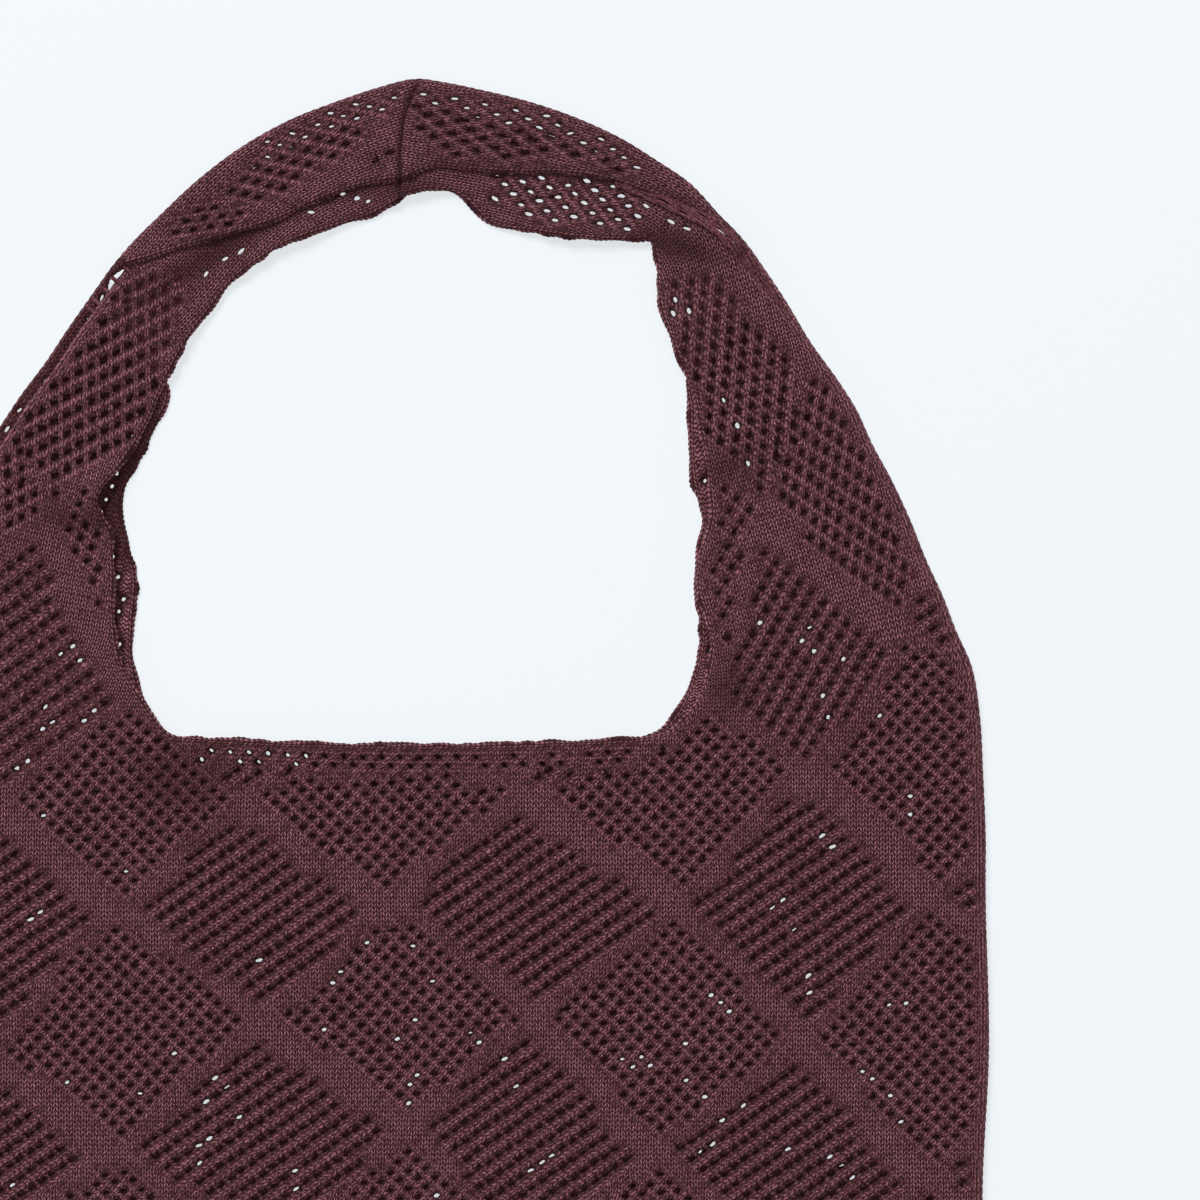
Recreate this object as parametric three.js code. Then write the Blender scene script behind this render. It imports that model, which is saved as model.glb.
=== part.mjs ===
// A knitted openwork shoulder bag laid flat: two knitted panels, each a body with two strap arms that
// meet at the top, so each panel is one ring of cloth round the strap's loop. Millimetres, +Z up.
// The bag lies on Z = 0 with its strap towards +Y.
import * as THREE from 'three';

// Cloth
const CLOTH_THICK = 2.0;
const LAYER_GAP = 0.3;
const EDGE_ROLL = 0.7;
const EDGE_ROLL_WIDTH = 3.0;
const EDGE_ROUND = 1.5;
const EDGE_THIN_SHARE = 0.55;

// Body
const BODY_HALF_WIDTH = 210;
const BODY_TOP_Y = -4;
const BODY_BOTTOM_Y = -300;
const BODY_CORNER = 24;
const HEM_Y = 56.5;
const HEM_DIP = 2.5;
const HEM_HALF_WIDTH = 80;
const SIDE_WAVE = 1.8;
const SIDE_WAVE_LENGTH = 150;
const SIDE_RIBS = 5;
const CORNER_RIBS = 4;
const BOTTOM_RIBS = 4;
const SIDE_INSET = 0.8;

// Strap, where the back panel turns over the front one between the two necks
const LEFT_NECK = { x: -112, y: 231, towardsX: 0.75, towardsY: 0.66 };
const RIGHT_NECK = { x: 119, y: 241, towardsX: -0.64, towardsY: 0.77 };
const NECK_LENGTH = 11;
const CROSSING_LENGTH = 24;

// Mesh
const STATIONS_PER_RIB = 2;
const CELLS_ACROSS = 9;
const FIRST_ROW = 2.2;
const SECOND_ROW = 5;
const LAST_ROW = 2.5;

// A row for each rib across the right arm, from the top seam down to the body. rim is the outer edge,
// front and back are the free inner edges of the two panels, inset is how far the front panel's outer
// edge lies inside the rim.
const RIGHT_ARM = [
  { rim: [-1, 300], front: [-4, 257], back: [-5, 263], inset: 9 },
  { rim: [8, 299], front: [4, 259], back: [5, 267], inset: 9 },
  { rim: [23, 296], front: [16, 256], back: [19, 266], inset: 10 },
  { rim: [43, 291], front: [27, 246], back: [36, 265], inset: 10 },
  { rim: [60, 285], front: [44, 243], back: [52, 265], inset: 9 },
  { rim: [75, 278], front: [58, 241], back: [68, 263], inset: 8 },
  { rim: [88, 270], front: [71, 240], back: [81, 259], inset: 7 },
  { rim: [101, 261], front: [80, 240], back: [95, 254], inset: 6 },
  { rim: [112, 249], front: [86, 240], back: [108, 247], inset: 5 },
  { rim: [117, 244], front: [87, 237], back: [114.4, 241.6], inset: 4.4 },
  { rim: [123, 237], front: [88, 232], back: [120.4, 234.6], inset: 4.4 },
  { rim: [128, 230], front: [88, 226], back: [123, 225], inset: 4 },
  { rim: [136, 218], front: [89, 217], back: [118, 213], inset: 2 },
  { rim: [145, 203], front: [92, 207], back: [106, 202], inset: 1 },
  { rim: [155, 189], front: [100, 187], back: [99, 189], inset: 1 },
  { rim: [162, 178], front: [103, 177], back: [100, 178], inset: 1 },
  { rim: [168, 165], front: [105, 165], back: [100, 166], inset: 1 },
  { rim: [175, 152], front: [107, 152], back: [101, 152], inset: 1 },
  { rim: [182, 137], front: [108, 137], back: [105, 137], inset: 1 },
  { rim: [188, 122], front: [104, 125], back: [103, 124], inset: 1 },
  { rim: [194, 109], front: [103, 111], back: [102, 111], inset: 1 },
  { rim: [199, 96], front: [106, 101], back: [104, 101], inset: 1 },
  { rim: [205, 82], front: [108, 90], back: [104, 90], inset: 1 },
  { rim: [208, 63], front: [105, 75], back: [100, 76], inset: 1 },
  { rim: [209, 44], front: [100, 66], back: [94, 64], inset: 1 },
  { rim: [210, 20], front: [92, 59], back: [87, 58], inset: 1 },
];

// The same for the left arm, from the body up to the top seam.
const LEFT_ARM = [
  { rim: [-210, 20], front: [-92, 58], back: [-91, 57], inset: 1 },
  { rim: [-209, 44], front: [-98, 65], back: [-96, 61], inset: 1 },
  { rim: [-207, 66], front: [-104, 74], back: [-101, 69], inset: 1 },
  { rim: [-202, 88], front: [-110, 87], back: [-105, 84], inset: 1 },
  { rim: [-194, 109], front: [-112, 103], back: [-105, 100], inset: 1.5 },
  { rim: [-184, 128], front: [-112, 118], back: [-104, 115], inset: 2 },
  { rim: [-175, 141], front: [-113, 132], back: [-107, 129], inset: 3 },
  { rim: [-165, 156], front: [-118, 144], back: [-110, 142], inset: 4 },
  { rim: [-155, 171], front: [-108, 159], back: [-104, 157], inset: 4 },
  { rim: [-147, 183], front: [-100, 172], back: [-97, 171], inset: 4 },
  { rim: [-138, 195], front: [-95, 184], back: [-92, 183], inset: 4 },
  { rim: [-130, 207], front: [-89, 196], back: [-96, 193], inset: 4 },
  { rim: [-123, 217], front: [-83, 206], back: [-107, 207], inset: 4.2 },
  { rim: [-118, 224], front: [-77, 214], back: [-115, 221.9], inset: 4.4 },
  { rim: [-111, 233], front: [-71, 222], back: [-108.3, 230.6], inset: 4.4 },
  { rim: [-105, 240], front: [-65, 228], back: [-101, 233], inset: 5 },
  { rim: [-95, 250], front: [-58, 233], back: [-88, 237], inset: 6 },
  { rim: [-81, 263], front: [-48, 239], back: [-70, 242], inset: 8 },
  { rim: [-65, 275], front: [-37, 243], back: [-51, 248], inset: 9 },
  { rim: [-47, 285], front: [-27, 246], back: [-36, 255], inset: 9 },
  { rim: [-29, 292], front: [-18, 249], back: [-22, 260], inset: 9 },
  { rim: [-14, 297], front: [-10, 253], back: [-12, 262], inset: 9 },
];

// Soft folds, a row each. A lift raises both panels off the table and a swell parts the upper panel
// from the lower one. along is the fold's direction in degrees from +X.
const FOLDS = [
  { name: 'strap top, right edge', does: 'lift', x: 62, y: 238, along: -4, length: 30, width: 9, rise: 4 },
  { name: 'strap top at the seam', does: 'lift', x: 2, y: 256, along: 0, length: 12, width: 8, rise: 4 },
  { name: 'strap top, left edge', does: 'lift', x: -50, y: 236, along: 35, length: 28, width: 8, rise: 3.5 },
  { name: 'right twist, upper pleat', does: 'lift', x: 98, y: 247, along: -20, length: 22, width: 5, rise: 3.5 },
  { name: 'right twist, lower pleat', does: 'lift', x: 106, y: 236, along: -14, length: 16, width: 4, rise: 1.8 },
  { name: 'left twist pleat', does: 'lift', x: -98, y: 229, along: 22, length: 18, width: 4.5, rise: 1.6 },
  { name: 'left pocket', does: 'swell', x: -117, y: 147, along: 60, length: 13, width: 9, rise: 5 },
  { name: 'left arm inner edge', does: 'swell', x: -112, y: 106, along: 90, length: 30, width: 6, rise: 1.8 },
  { name: 'right arm inner edge', does: 'swell', x: 107, y: 150, along: 100, length: 32, width: 7, rise: 2 },
  { name: 'right pocket', does: 'swell', x: 108, y: 84, along: 110, length: 14, width: 7, rise: 2.6 },
  { name: 'right corner pull', does: 'swell', x: 122, y: 38, along: -48, length: 34, width: 8, rise: 1.4 },
  { name: 'left corner pull', does: 'swell', x: -122, y: 36, along: 42, length: 36, width: 9, rise: 1.5 },
  { name: 'right side ridge', does: 'swell', x: 203, y: -62, along: 91, length: 34, width: 4, rise: 1.1 },
  { name: 'body, left slack', does: 'swell', x: -80, y: -70, along: 70, length: 90, width: 42, rise: 1.1 },
  { name: 'body, right slack', does: 'swell', x: 95, y: -110, along: 105, length: 90, width: 45, rise: 1.3 },
  { name: 'body, low slack', does: 'swell', x: -10, y: -235, along: 4, length: 120, width: 30, rise: 1.2 },
];

const MAROON = new THREE.Color('#5d3941');
const MAROON_SHADED = new THREE.Color('#523239');

function smooth(share) {
  const s = Math.min(1, Math.max(0, share));
  return s * s * (3 - 2 * s);
}

// The rim of the body's right half, run millimetres down from its top: a slightly wavy side, a round
// corner, then the bottom towards its middle.
function bodyRim(run) {
  const side = BODY_TOP_Y - BODY_BOTTOM_Y - BODY_CORNER;
  const corner = (BODY_CORNER * Math.PI) / 2;
  if (run <= side) {
    const wave = SIDE_WAVE * Math.sin((2 * Math.PI * run) / SIDE_WAVE_LENGTH) * (1 - smooth(run / side));
    return [BODY_HALF_WIDTH + wave, BODY_TOP_Y - run];
  }
  const middleX = BODY_HALF_WIDTH - BODY_CORNER;
  if (run <= side + corner) {
    const turn = (run - side) / BODY_CORNER;
    return [middleX + BODY_CORNER * Math.cos(turn), BODY_BOTTOM_Y + BODY_CORNER * (1 - Math.sin(turn))];
  }
  return [middleX - (run - side - corner), BODY_BOTTOM_Y];
}

// Ribs round the body: the rim runs down one side, along the bottom and up the other, while the inner
// end runs across the hem of the opening.
function bodyRibs() {
  const side = BODY_TOP_Y - BODY_BOTTOM_Y - BODY_CORNER;
  const corner = (BODY_CORNER * Math.PI) / 2;
  const half = BODY_HALF_WIDTH - BODY_CORNER;
  const even = (start, length, count) => Array.from({ length: count }, (_, k) => start + (length * k) / count);
  const right = [
    ...even(0, side, SIDE_RIBS),
    ...even(side, corner, CORNER_RIBS),
    ...even(side + corner, half, BOTTOM_RIBS),
  ].map(bodyRim);
  const left = right.map(([x, y]) => [-x, y]).reverse();
  const rims = [...right, [0, BODY_BOTTOM_Y], ...left];
  return rims.map((rim, k) => {
    const across = 1 - (2 * k) / (rims.length - 1);
    const hem = [HEM_HALF_WIDTH * across, HEM_Y - HEM_DIP + HEM_DIP * across * across];
    return { rim, front: hem, back: hem, inset: SIDE_INSET };
  });
}

// How far a point is past the nearer neck, towards the top of the strap.
function pastNeck(x, y) {
  const along = (neck) => (x - neck.x) * neck.towardsX + (y - neck.y) * neck.towardsY;
  return Math.min(along(LEFT_NECK), along(RIGHT_NECK));
}

// The sum of the soft folds of one kind at a point: each is a round-topped ridge that dies away.
function foldHeight(kind, x, y) {
  return FOLDS.filter((fold) => fold.does === kind).reduce((sum, fold) => {
    const turn = THREE.MathUtils.degToRad(fold.along);
    const dx = x - fold.x;
    const dy = y - fold.y;
    const u = (dx * Math.cos(turn) + dy * Math.sin(turn)) / fold.length;
    const v = (dy * Math.cos(turn) - dx * Math.sin(turn)) / fold.width;
    return sum + fold.rise * Math.exp(-u * u - v * v);
  }, 0);
}

// How many layers each panel's underside is above the table: the front lies on the back in the body
// and the arms, and between the necks the back lies on the front.
function layersBelow(panel, past) {
  const crossed = smooth(past / CROSSING_LENGTH);
  if (panel === 'front') {
    return 1 - crossed;
  }
  return past < 0 ? 2 * smooth((past + NECK_LENGTH) / NECK_LENGTH) : 2 - crossed;
}

function undersideHeight(panel, x, y) {
  const layer = CLOTH_THICK + LAYER_GAP + foldHeight('swell', x, y);
  return foldHeight('lift', x, y) + layer * layersBelow(panel, pastNeck(x, y));
}

// The cloth is thinner at its very edge and rolls up a little beside a free edge that lies on top.
function clothThickness(panel, fromInner, fromOuter, layers) {
  const rounding = smooth(Math.min(fromInner, fromOuter) / EDGE_ROUND);
  const roll = Math.exp(-(((fromInner - EDGE_ROUND) / EDGE_ROLL_WIDTH) ** 2));
  const body = CLOTH_THICK * (EDGE_THIN_SHARE + (1 - EDGE_THIN_SHARE) * rounding);
  return body + EDGE_ROLL * roll * rounding * Math.min(1, layers);
}

function closedCurve(points) {
  const spots = points.map((p) => new THREE.Vector3(p[0], p[1], p[2] ?? 0));
  return new THREE.CatmullRomCurve3(spots, true, 'centripetal');
}

// The rows of one rib as shares of its width: two close rows at the free edge, then even ones, then
// one close row at the outer edge.
function rowShares(width) {
  const first = Math.min(FIRST_ROW / width, 0.2);
  const second = Math.min(SECOND_ROW / width, 0.4);
  const last = 1 - Math.min(LAST_ROW / width, 0.2);
  const even = CELLS_ACROSS - 3;
  const middle = Array.from({ length: even + 1 }, (_, k) => second + ((last - second) * k) / even);
  return [0, first, ...middle, 1];
}

// One panel: a grid round the ring and across it, closed above, below and along both edges.
function panelGeometry(panel, ribs) {
  const rim = closedCurve(ribs.map((rib) => [...rib.rim, panel === 'front' ? rib.inset : 0]));
  const inner = closedCurve(ribs.map((rib) => rib[panel]));
  const stations = ribs.length * STATIONS_PER_RIB;
  const rows = CELLS_ACROSS + 1;
  const upper = [];
  const lower = [];
  for (let i = 0; i < stations; i += 1) {
    const share = i / stations;
    const onRim = rim.getPoint(share);
    const tangent = rim.getTangent(share).setZ(0).normalize();
    const outer = new THREE.Vector3(
      onRim.x + tangent.y * onRim.z,
      onRim.y - tangent.x * onRim.z,
      0,
    );
    const start = inner.getPoint(share);
    const width = start.distanceTo(outer);
    rowShares(width).forEach((t) => {
      const p = start.clone().lerp(outer, t);
      const layers = layersBelow(panel, pastNeck(p.x, p.y));
      const z = undersideHeight(panel, p.x, p.y);
      const thick = clothThickness(panel, t * width, (1 - t) * width, layers);
      lower.push(p.x, p.y, z);
      upper.push(p.x, p.y, z + thick);
    });
  }
  const count = stations * rows;
  const index = [];
  const quad = (a, b, c, d) => index.push(a, b, c, a, c, d);
  for (let i = 0; i < stations; i += 1) {
    const here = i * rows;
    const next = ((i + 1) % stations) * rows;
    for (let k = 0; k < rows - 1; k += 1) {
      quad(here + k, here + k + 1, next + k + 1, next + k);
      quad(count + here + k, count + next + k, count + next + k + 1, count + here + k + 1);
    }
    quad(here, next, count + next, count + here);
    quad(next + rows - 1, here + rows - 1, count + here + rows - 1, count + next + rows - 1);
  }
  const geometry = new THREE.BufferGeometry();
  geometry.setAttribute('position', new THREE.Float32BufferAttribute([...lower, ...upper], 3));
  geometry.setIndex(index);
  geometry.computeVertexNormals();
  return geometry;
}

function panelMesh(name, panel, ribs, colour) {
  const material = new THREE.MeshStandardMaterial({ color: colour, roughness: 0.9, metalness: 0 });
  const mesh = new THREE.Mesh(panelGeometry(panel, ribs), material);
  mesh.name = name;
  return mesh;
}

const ribs = [...RIGHT_ARM, ...bodyRibs(), ...LEFT_ARM];
const bag = new THREE.Group();
bag.name = 'openwork_bag';
bag.add(panelMesh('front_panel', 'front', ribs, MAROON));
bag.add(panelMesh('back_panel', 'back', ribs, MAROON_SHADED));

// The bag is centred on its own bounding box.
const box = new THREE.Box3().setFromObject(bag);
bag.position.set(-(box.min.x + box.max.x) / 2, -(box.min.y + box.max.y) / 2, -box.min.z);

export default bag;
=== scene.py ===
import math
import bpy
import numpy as np
from mathutils.geometry import delaunay_2d_cdt
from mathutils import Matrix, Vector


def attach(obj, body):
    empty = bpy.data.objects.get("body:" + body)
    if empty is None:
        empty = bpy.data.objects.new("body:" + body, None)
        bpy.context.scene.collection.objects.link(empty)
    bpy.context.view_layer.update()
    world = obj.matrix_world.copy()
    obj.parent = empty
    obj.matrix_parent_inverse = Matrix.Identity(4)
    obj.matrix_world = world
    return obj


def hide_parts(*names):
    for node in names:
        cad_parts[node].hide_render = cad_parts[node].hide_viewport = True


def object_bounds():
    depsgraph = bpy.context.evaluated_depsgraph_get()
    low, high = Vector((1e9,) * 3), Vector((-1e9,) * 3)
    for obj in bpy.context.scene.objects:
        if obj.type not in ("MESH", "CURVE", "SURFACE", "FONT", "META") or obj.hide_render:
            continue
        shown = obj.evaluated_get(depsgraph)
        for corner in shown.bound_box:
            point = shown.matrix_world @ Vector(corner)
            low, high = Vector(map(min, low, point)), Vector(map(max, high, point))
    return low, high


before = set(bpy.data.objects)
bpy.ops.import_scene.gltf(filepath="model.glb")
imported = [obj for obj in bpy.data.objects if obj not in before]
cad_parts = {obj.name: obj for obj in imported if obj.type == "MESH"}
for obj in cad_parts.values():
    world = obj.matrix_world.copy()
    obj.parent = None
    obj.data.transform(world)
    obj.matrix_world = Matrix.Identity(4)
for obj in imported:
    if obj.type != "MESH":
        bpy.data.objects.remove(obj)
cad_box = [[float(v) for v in corner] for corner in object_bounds()]


# ---------------------------------------------------------------- the two knitted panels
# Each panel is one piece of maroon yarn, machine knitted to shape in plain stitches with diamonds of
# eyelets between diagonal bands. It is a body with two strap arms, so it is a ring round the strap's
# loop. The two are linked at sides and bottom, and the back one turns over the front along the strap.

STITCH_WIDE, STITCH_HIGH = 2.09, 1.7575
CLOTH_THICK, LAYER_GAP = 1.75, 0.3
CAD_THICK = 2.0
EDGE_ROLL, EDGE_ROLL_WIDTH, EDGE_ROUND = 0.55, 3.0, 1.5
RIDGE_RISE, VALLEY_DROP = 0.3, 0.4
BODY_HALF_WIDTH, BODY_TOP_Y, BODY_BOTTOM_Y, BODY_CORNER = 210.0, -4.0, -300.0, 24.0
SIDE_RUN, CORNER_RUN = BODY_TOP_Y - BODY_BOTTOM_Y - BODY_CORNER, BODY_CORNER * math.pi / 2
HEM_Y, HEM_DIP, HEM_HALF_WIDTH = 56.5, 2.5, 80.0
SIDE_WAVE, SIDE_WAVE_LENGTH = 1.8, 150.0
LEFT_NECK, RIGHT_NECK = (-112.0, 231.0, 0.75, 0.66), (119.0, 241.0, -0.64, 0.77)
NECK_LENGTH, CROSSING_LENGTH = 11.0, 24.0
TURN = 2 * math.pi

# A row for each rib across the strap: the rim, the front panel's and the back panel's free inner
# edges, and how far the front's outer edge lies inside the rim. Millimetres.
RIGHT_ARM = [
    (-1, 300, -4, 257, -5, 263, 9), (8, 299, 4, 259, 5, 267, 9), (23, 296, 16, 256, 19, 266, 10),
    (43, 291, 27, 246, 36, 265, 10), (60, 285, 44, 243, 52, 265, 9), (75, 278, 58, 241, 68, 263, 8),
    (88, 270, 71, 240, 81, 259, 7), (101, 261, 80, 240, 95, 254, 6), (112, 249, 86, 240, 108, 247, 5),
    (117, 244, 87, 237, 114.4, 241.6, 4.4), (123, 237, 88, 232, 120.4, 234.6, 4.4),
    (128, 230, 88, 226, 123, 225, 4), (136, 218, 89, 217, 118, 213, 2), (145, 203, 92, 207, 106, 202, 1),
    (155, 189, 100, 187, 99, 189, 1), (162, 178, 103, 177, 100, 178, 1), (168, 165, 105, 165, 100, 166, 1),
    (175, 152, 107, 152, 101, 152, 1), (182, 137, 108, 137, 105, 137, 1), (188, 122, 104, 125, 103, 124, 1),
    (194, 109, 103, 111, 102, 111, 1), (199, 96, 106, 101, 104, 101, 1), (205, 82, 108, 90, 104, 90, 1),
    (208, 63, 105, 75, 100, 76, 1), (209, 44, 100, 66, 94, 64, 1), (210, 20, 92, 59, 87, 58, 1),
]
LEFT_ARM = [
    (-210, 20, -92, 58, -91, 57, 1), (-209, 44, -98, 65, -96, 61, 1), (-207, 66, -104, 74, -101, 69, 1),
    (-202, 88, -110, 87, -105, 84, 1), (-194, 109, -112, 103, -105, 100, 1.5),
    (-184, 128, -112, 118, -104, 115, 2), (-175, 141, -113, 132, -107, 129, 3),
    (-165, 156, -118, 144, -110, 142, 4), (-155, 171, -108, 159, -104, 157, 4),
    (-147, 183, -100, 172, -97, 171, 4), (-138, 195, -95, 184, -92, 183, 4), (-130, 207, -89, 196, -96, 193, 4),
    (-123, 217, -83, 206, -107, 207, 4.2), (-118, 224, -77, 214, -115, 221.9, 4.4),
    (-111, 233, -71, 222, -108.3, 230.6, 4.4), (-105, 240, -65, 228, -101, 233, 5),
    (-95, 250, -58, 233, -88, 237, 6), (-81, 263, -48, 239, -70, 242, 8), (-65, 275, -37, 243, -51, 248, 9),
    (-47, 285, -27, 246, -36, 255, 9), (-29, 292, -18, 249, -22, 260, 9), (-14, 297, -10, 253, -12, 262, 9),
]

# Soft folds: what it does, where, its direction in degrees, half length, half width and rise. A lift
# raises both panels off the table and a swell parts the upper panel from the lower one.
FOLDS = [
    ("lift", 62, 238, -4, 30, 9, 4), ("lift", 2, 256, 0, 12, 8, 4), ("lift", -50, 236, 35, 28, 8, 3.5),
    ("lift", 98, 247, -20, 22, 5, 3.5), ("lift", 106, 236, -14, 16, 4, 1.8), ("lift", -98, 229, 22, 18, 4.5, 1.6),
    ("swell", -117, 147, 60, 13, 9, 5), ("swell", -112, 106, 90, 30, 6, 1.8), ("swell", 107, 150, 100, 32, 7, 2),
    ("swell", 108, 84, 110, 14, 7, 2.6), ("swell", 122, 38, -48, 34, 8, 1.4), ("swell", -122, 36, 42, 36, 9, 1.5),
    ("swell", 203, -62, 91, 34, 4, 1.1), ("swell", -80, -70, 70, 90, 42, 1.1),
    ("swell", 95, -110, 105, 90, 45, 1.3), ("swell", -10, -235, 4, 120, 30, 1.2),
]

# Soft hollows in the upper face, written the same way: panel, where, direction, half length, half
# width and depth. They also darken the yarn, as little light falls into them.
HOLLOWS = [
    ("front", -127, 137, -8, 17, 6, 1.5), ("front", -114, 146, 60, 9, 5, 1.2),
    ("front", 116, 157, 20, 11, 7, 1.4), ("front", -92, 38, -38, 24, 15, 1.2), ("front", -76, 46, 0, 13, 8, 0.7),
    ("front", 116, 74, 55, 13, 8, 1.2), ("front", 98, 236, -12, 14, 4, 1.4), ("front", 84, 241, -5, 12, 4, 0.9),
    ("front", -75, 236, 33, 34, 5.5, 1.9), ("front", -20, 259, 6, 30, 3.5, 1.3),
    ("front", 62, 262, -4, 30, 3, 0.9), ("front", 100, 186, 95, 14, 5, 0.8),
    ("front", -160, 118, 80, 22, 8, 0.7), ("front", 162, 62, 70, 20, 9, 0.5), ("front", 96, 241, -20, 13, 5, 1.3),
    ("front", -101, 197, 62, 16, 4, 0.7), ("front", -140, 60, 80, 34, 8, 0.5), ("back", 20, 270, -4, 16, 5, 0.6),
    ("back", -113, 148, 70, 13, 5, 1.6), ("back", 106, 249, -33, 24, 2, 1.6), ("back", 95, 256, -24, 16, 1.6, 1),
    ("back", -70, 262, 35, 26, 5, 0.5),
]

# The knitted pattern's own map. Half a diamond is one unit: c counts across and r up the fabric. A row
# gives r, the place of c = 3 (c = -3 in the left table) and the step of one c there.
RIGHT_SPINE = np.array([
    (-8, 142.3, -354.8, 50.51, 0.0), (0, 142.3, -5.5, 50.51, 0.0), (1, 143.9, 44.8, 51.06, 4.44),
    (2, 143.9, 84.0, 34.41, 14.06), (3, 128.4, 142.4, 33.67, 4.62), (4, 114.3, 191.7, 31.45, 8.88),
    (5, 99.9, 239.4, 27.75, 12.95), (6, 67.3, 260.1, 9.62, 19.98), (7, 30.3, 271.9, 5.18, 21.46),
    (8, -6.8, 277.5, 2.96, 22.2)])
LEFT_SPINE = np.array([
    (-8, -160.8, -354.8, 50.51, 0.0), (0, -160.8, -5.5, 50.51, 0.0), (1, -152.4, 34.8, 43.3, -0.55),
    (2, -147.6, 83.6, 43.66, -10.36), (3, -136.2, 139.9, 34.04, -9.62), (4, -120.6, 180.6, 21.46, -1.48),
    (5, -84.4, 222.0, 20.35, -12.95), (6, -57.7, 250.9, 14.06, -17.39), (7, -27.0, 270.1, 9.25, -19.98),
    (8, -2.0, 279.0, 5.55, -21.46)])
# Where the fabric has slipped a little: c, r, and the slip in millimetres.
SLIPS = np.array([
    (-2, 0, 0.0, -1.9), (0, 0, 0.0, 0.4), (2, 0, 6.7, 1.5), (4, 0, -1.1, 4.8), (-3, -1, 8.3, -13.7),
    (-1, -1, -0.6, -2.6), (1, -1, 2.8, 1.9), (3, -1, 1.7, -0.4), (-2, -2, 1.1, -10.0), (0, -2, -1.1, -1.1),
    (2, -2, 0.0, -1.1), (4, -2, -1.1, -3.3)])
SLIP_REACH = 26.0

# How the eyelets lie in a diamond: two steps from one eyelet to the next, then half the length and
# half the width of the open slit, and the slit's tilt in degrees. Millimetres.
RIDGED = ((4.14, -4.0), (-3.77, -2.63), 1.5, 0.66, 31)
STAGGERED = ((3.44, -3.07), (-3.22, -3.7), 1.15, 0.72, 16)
DIAMONDS = {
    (3, 4): ((5.03, -4.07), (-0.44, -5.18), 1.2, 0.78, 106),
    (4, 3): ((4.0, -2.96), (-1.11, -6.47), 1.25, 0.85, 100),
    (3, 2): ((4.33, -3.77), (-2.59, -4.51), 1.15, 0.85, 40),
    (2, 3): ((4.33, -3.77), (-2.59, -4.51), 1.1, 0.8, 60),
    (-3, 4): ((-4.62, -2.48), (0.11, -6.66), 1.35, 0.72, 38),
    (-4, 3): ((-4.62, -2.48), (0.18, -5.99), 1.2, 0.85, 70),
    (-3, 2): ((3.15, -5.33), (-4.11, -3.03), 1.25, 0.78, 32),
    (-2, 3): ((4.2, -3.4), (-1.9, -4.6), 1.1, 0.8, 60),
}
WIDE_BAND, NARROW_BAND, THIN_BAND, CROSS_BAND = 0.137, 0.056, 0.054, 0.046

# Patches of eyelets along the strap: panel, first eyelet, the two steps, half length, half width,
# tilt, and the patch's outline. Millimetres.
PATCHES = [
    ("back", (-40.7, 268.3), (4.9, -1.0), (-4.5, -4.3), 1.35, 0.5, 8,
     [(-79.5, 254), (-78.8, 263.4), (-72.5, 268.2), (-43.7, 286.8), (-27, 294.1), (-8.5, 298.2),
      (-7.4, 290.8), (-17, 286.4), (-27, 273.8), (-39.2, 264.9), (-49, 256)]),
    ("back", (-66.0, 250.3), (6.5, 1.0), (-4.0, -4.1), 1.35, 0.52, 12,
     [(-99.2, 240), (-93.6, 247.2), (-86.2, 255.3), (-64, 252.6), (-63.5, 248), (-84.4, 241.2), (-95, 238)]),
    ("back", (33.6, 283.8), (4.44, -3.33), (-6.92, -1.29), 1.6, 0.52, -10,
     [(-1, 291), (3, 296.5), (13.7, 296), (37.7, 292.3), (67.3, 281.2), (85.8, 267.1), (82.1, 262.7),
      (58, 270.1), (46, 271.5), (32.2, 269.5), (13.7, 272), (2, 277)]),
    ("front", (-120.6, 180.6), (-4.62, -2.48), (0.11, -6.66), 1.45, 0.78, 38,
     [(-112, 220), (-97.7, 228), (-87.1, 227.4), (-90.6, 202.9), (-97.7, 183), (-107.7, 160.2), (-126.2, 154.5),
      (-140.4, 150.3), (-151.8, 171.7)]),
    ("front", (114.3, 191.7), (5.03, -4.07), (-0.44, -5.18), 1.25, 0.8, 106,
     [(95, 227), (104, 228), (115.4, 212), (129, 199.8), (140, 182.5), (142.6, 165.4), (134, 158), (111.7, 162.8),
      (104, 172.7), (95, 204.7), (90.8, 219.5)]),
    ("front", (58.5, 257.7), (2.96, -3.59), (6.81, 1.29), 1.35, 0.62, -14,
     [(25.2, 265.7), (82.1, 261.2), (82.1, 244.5), (68.8, 243.4), (58.1, 246.9), (41.4, 248.4),
      (33.4, 251), (26.9, 256.5)]),
]
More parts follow.
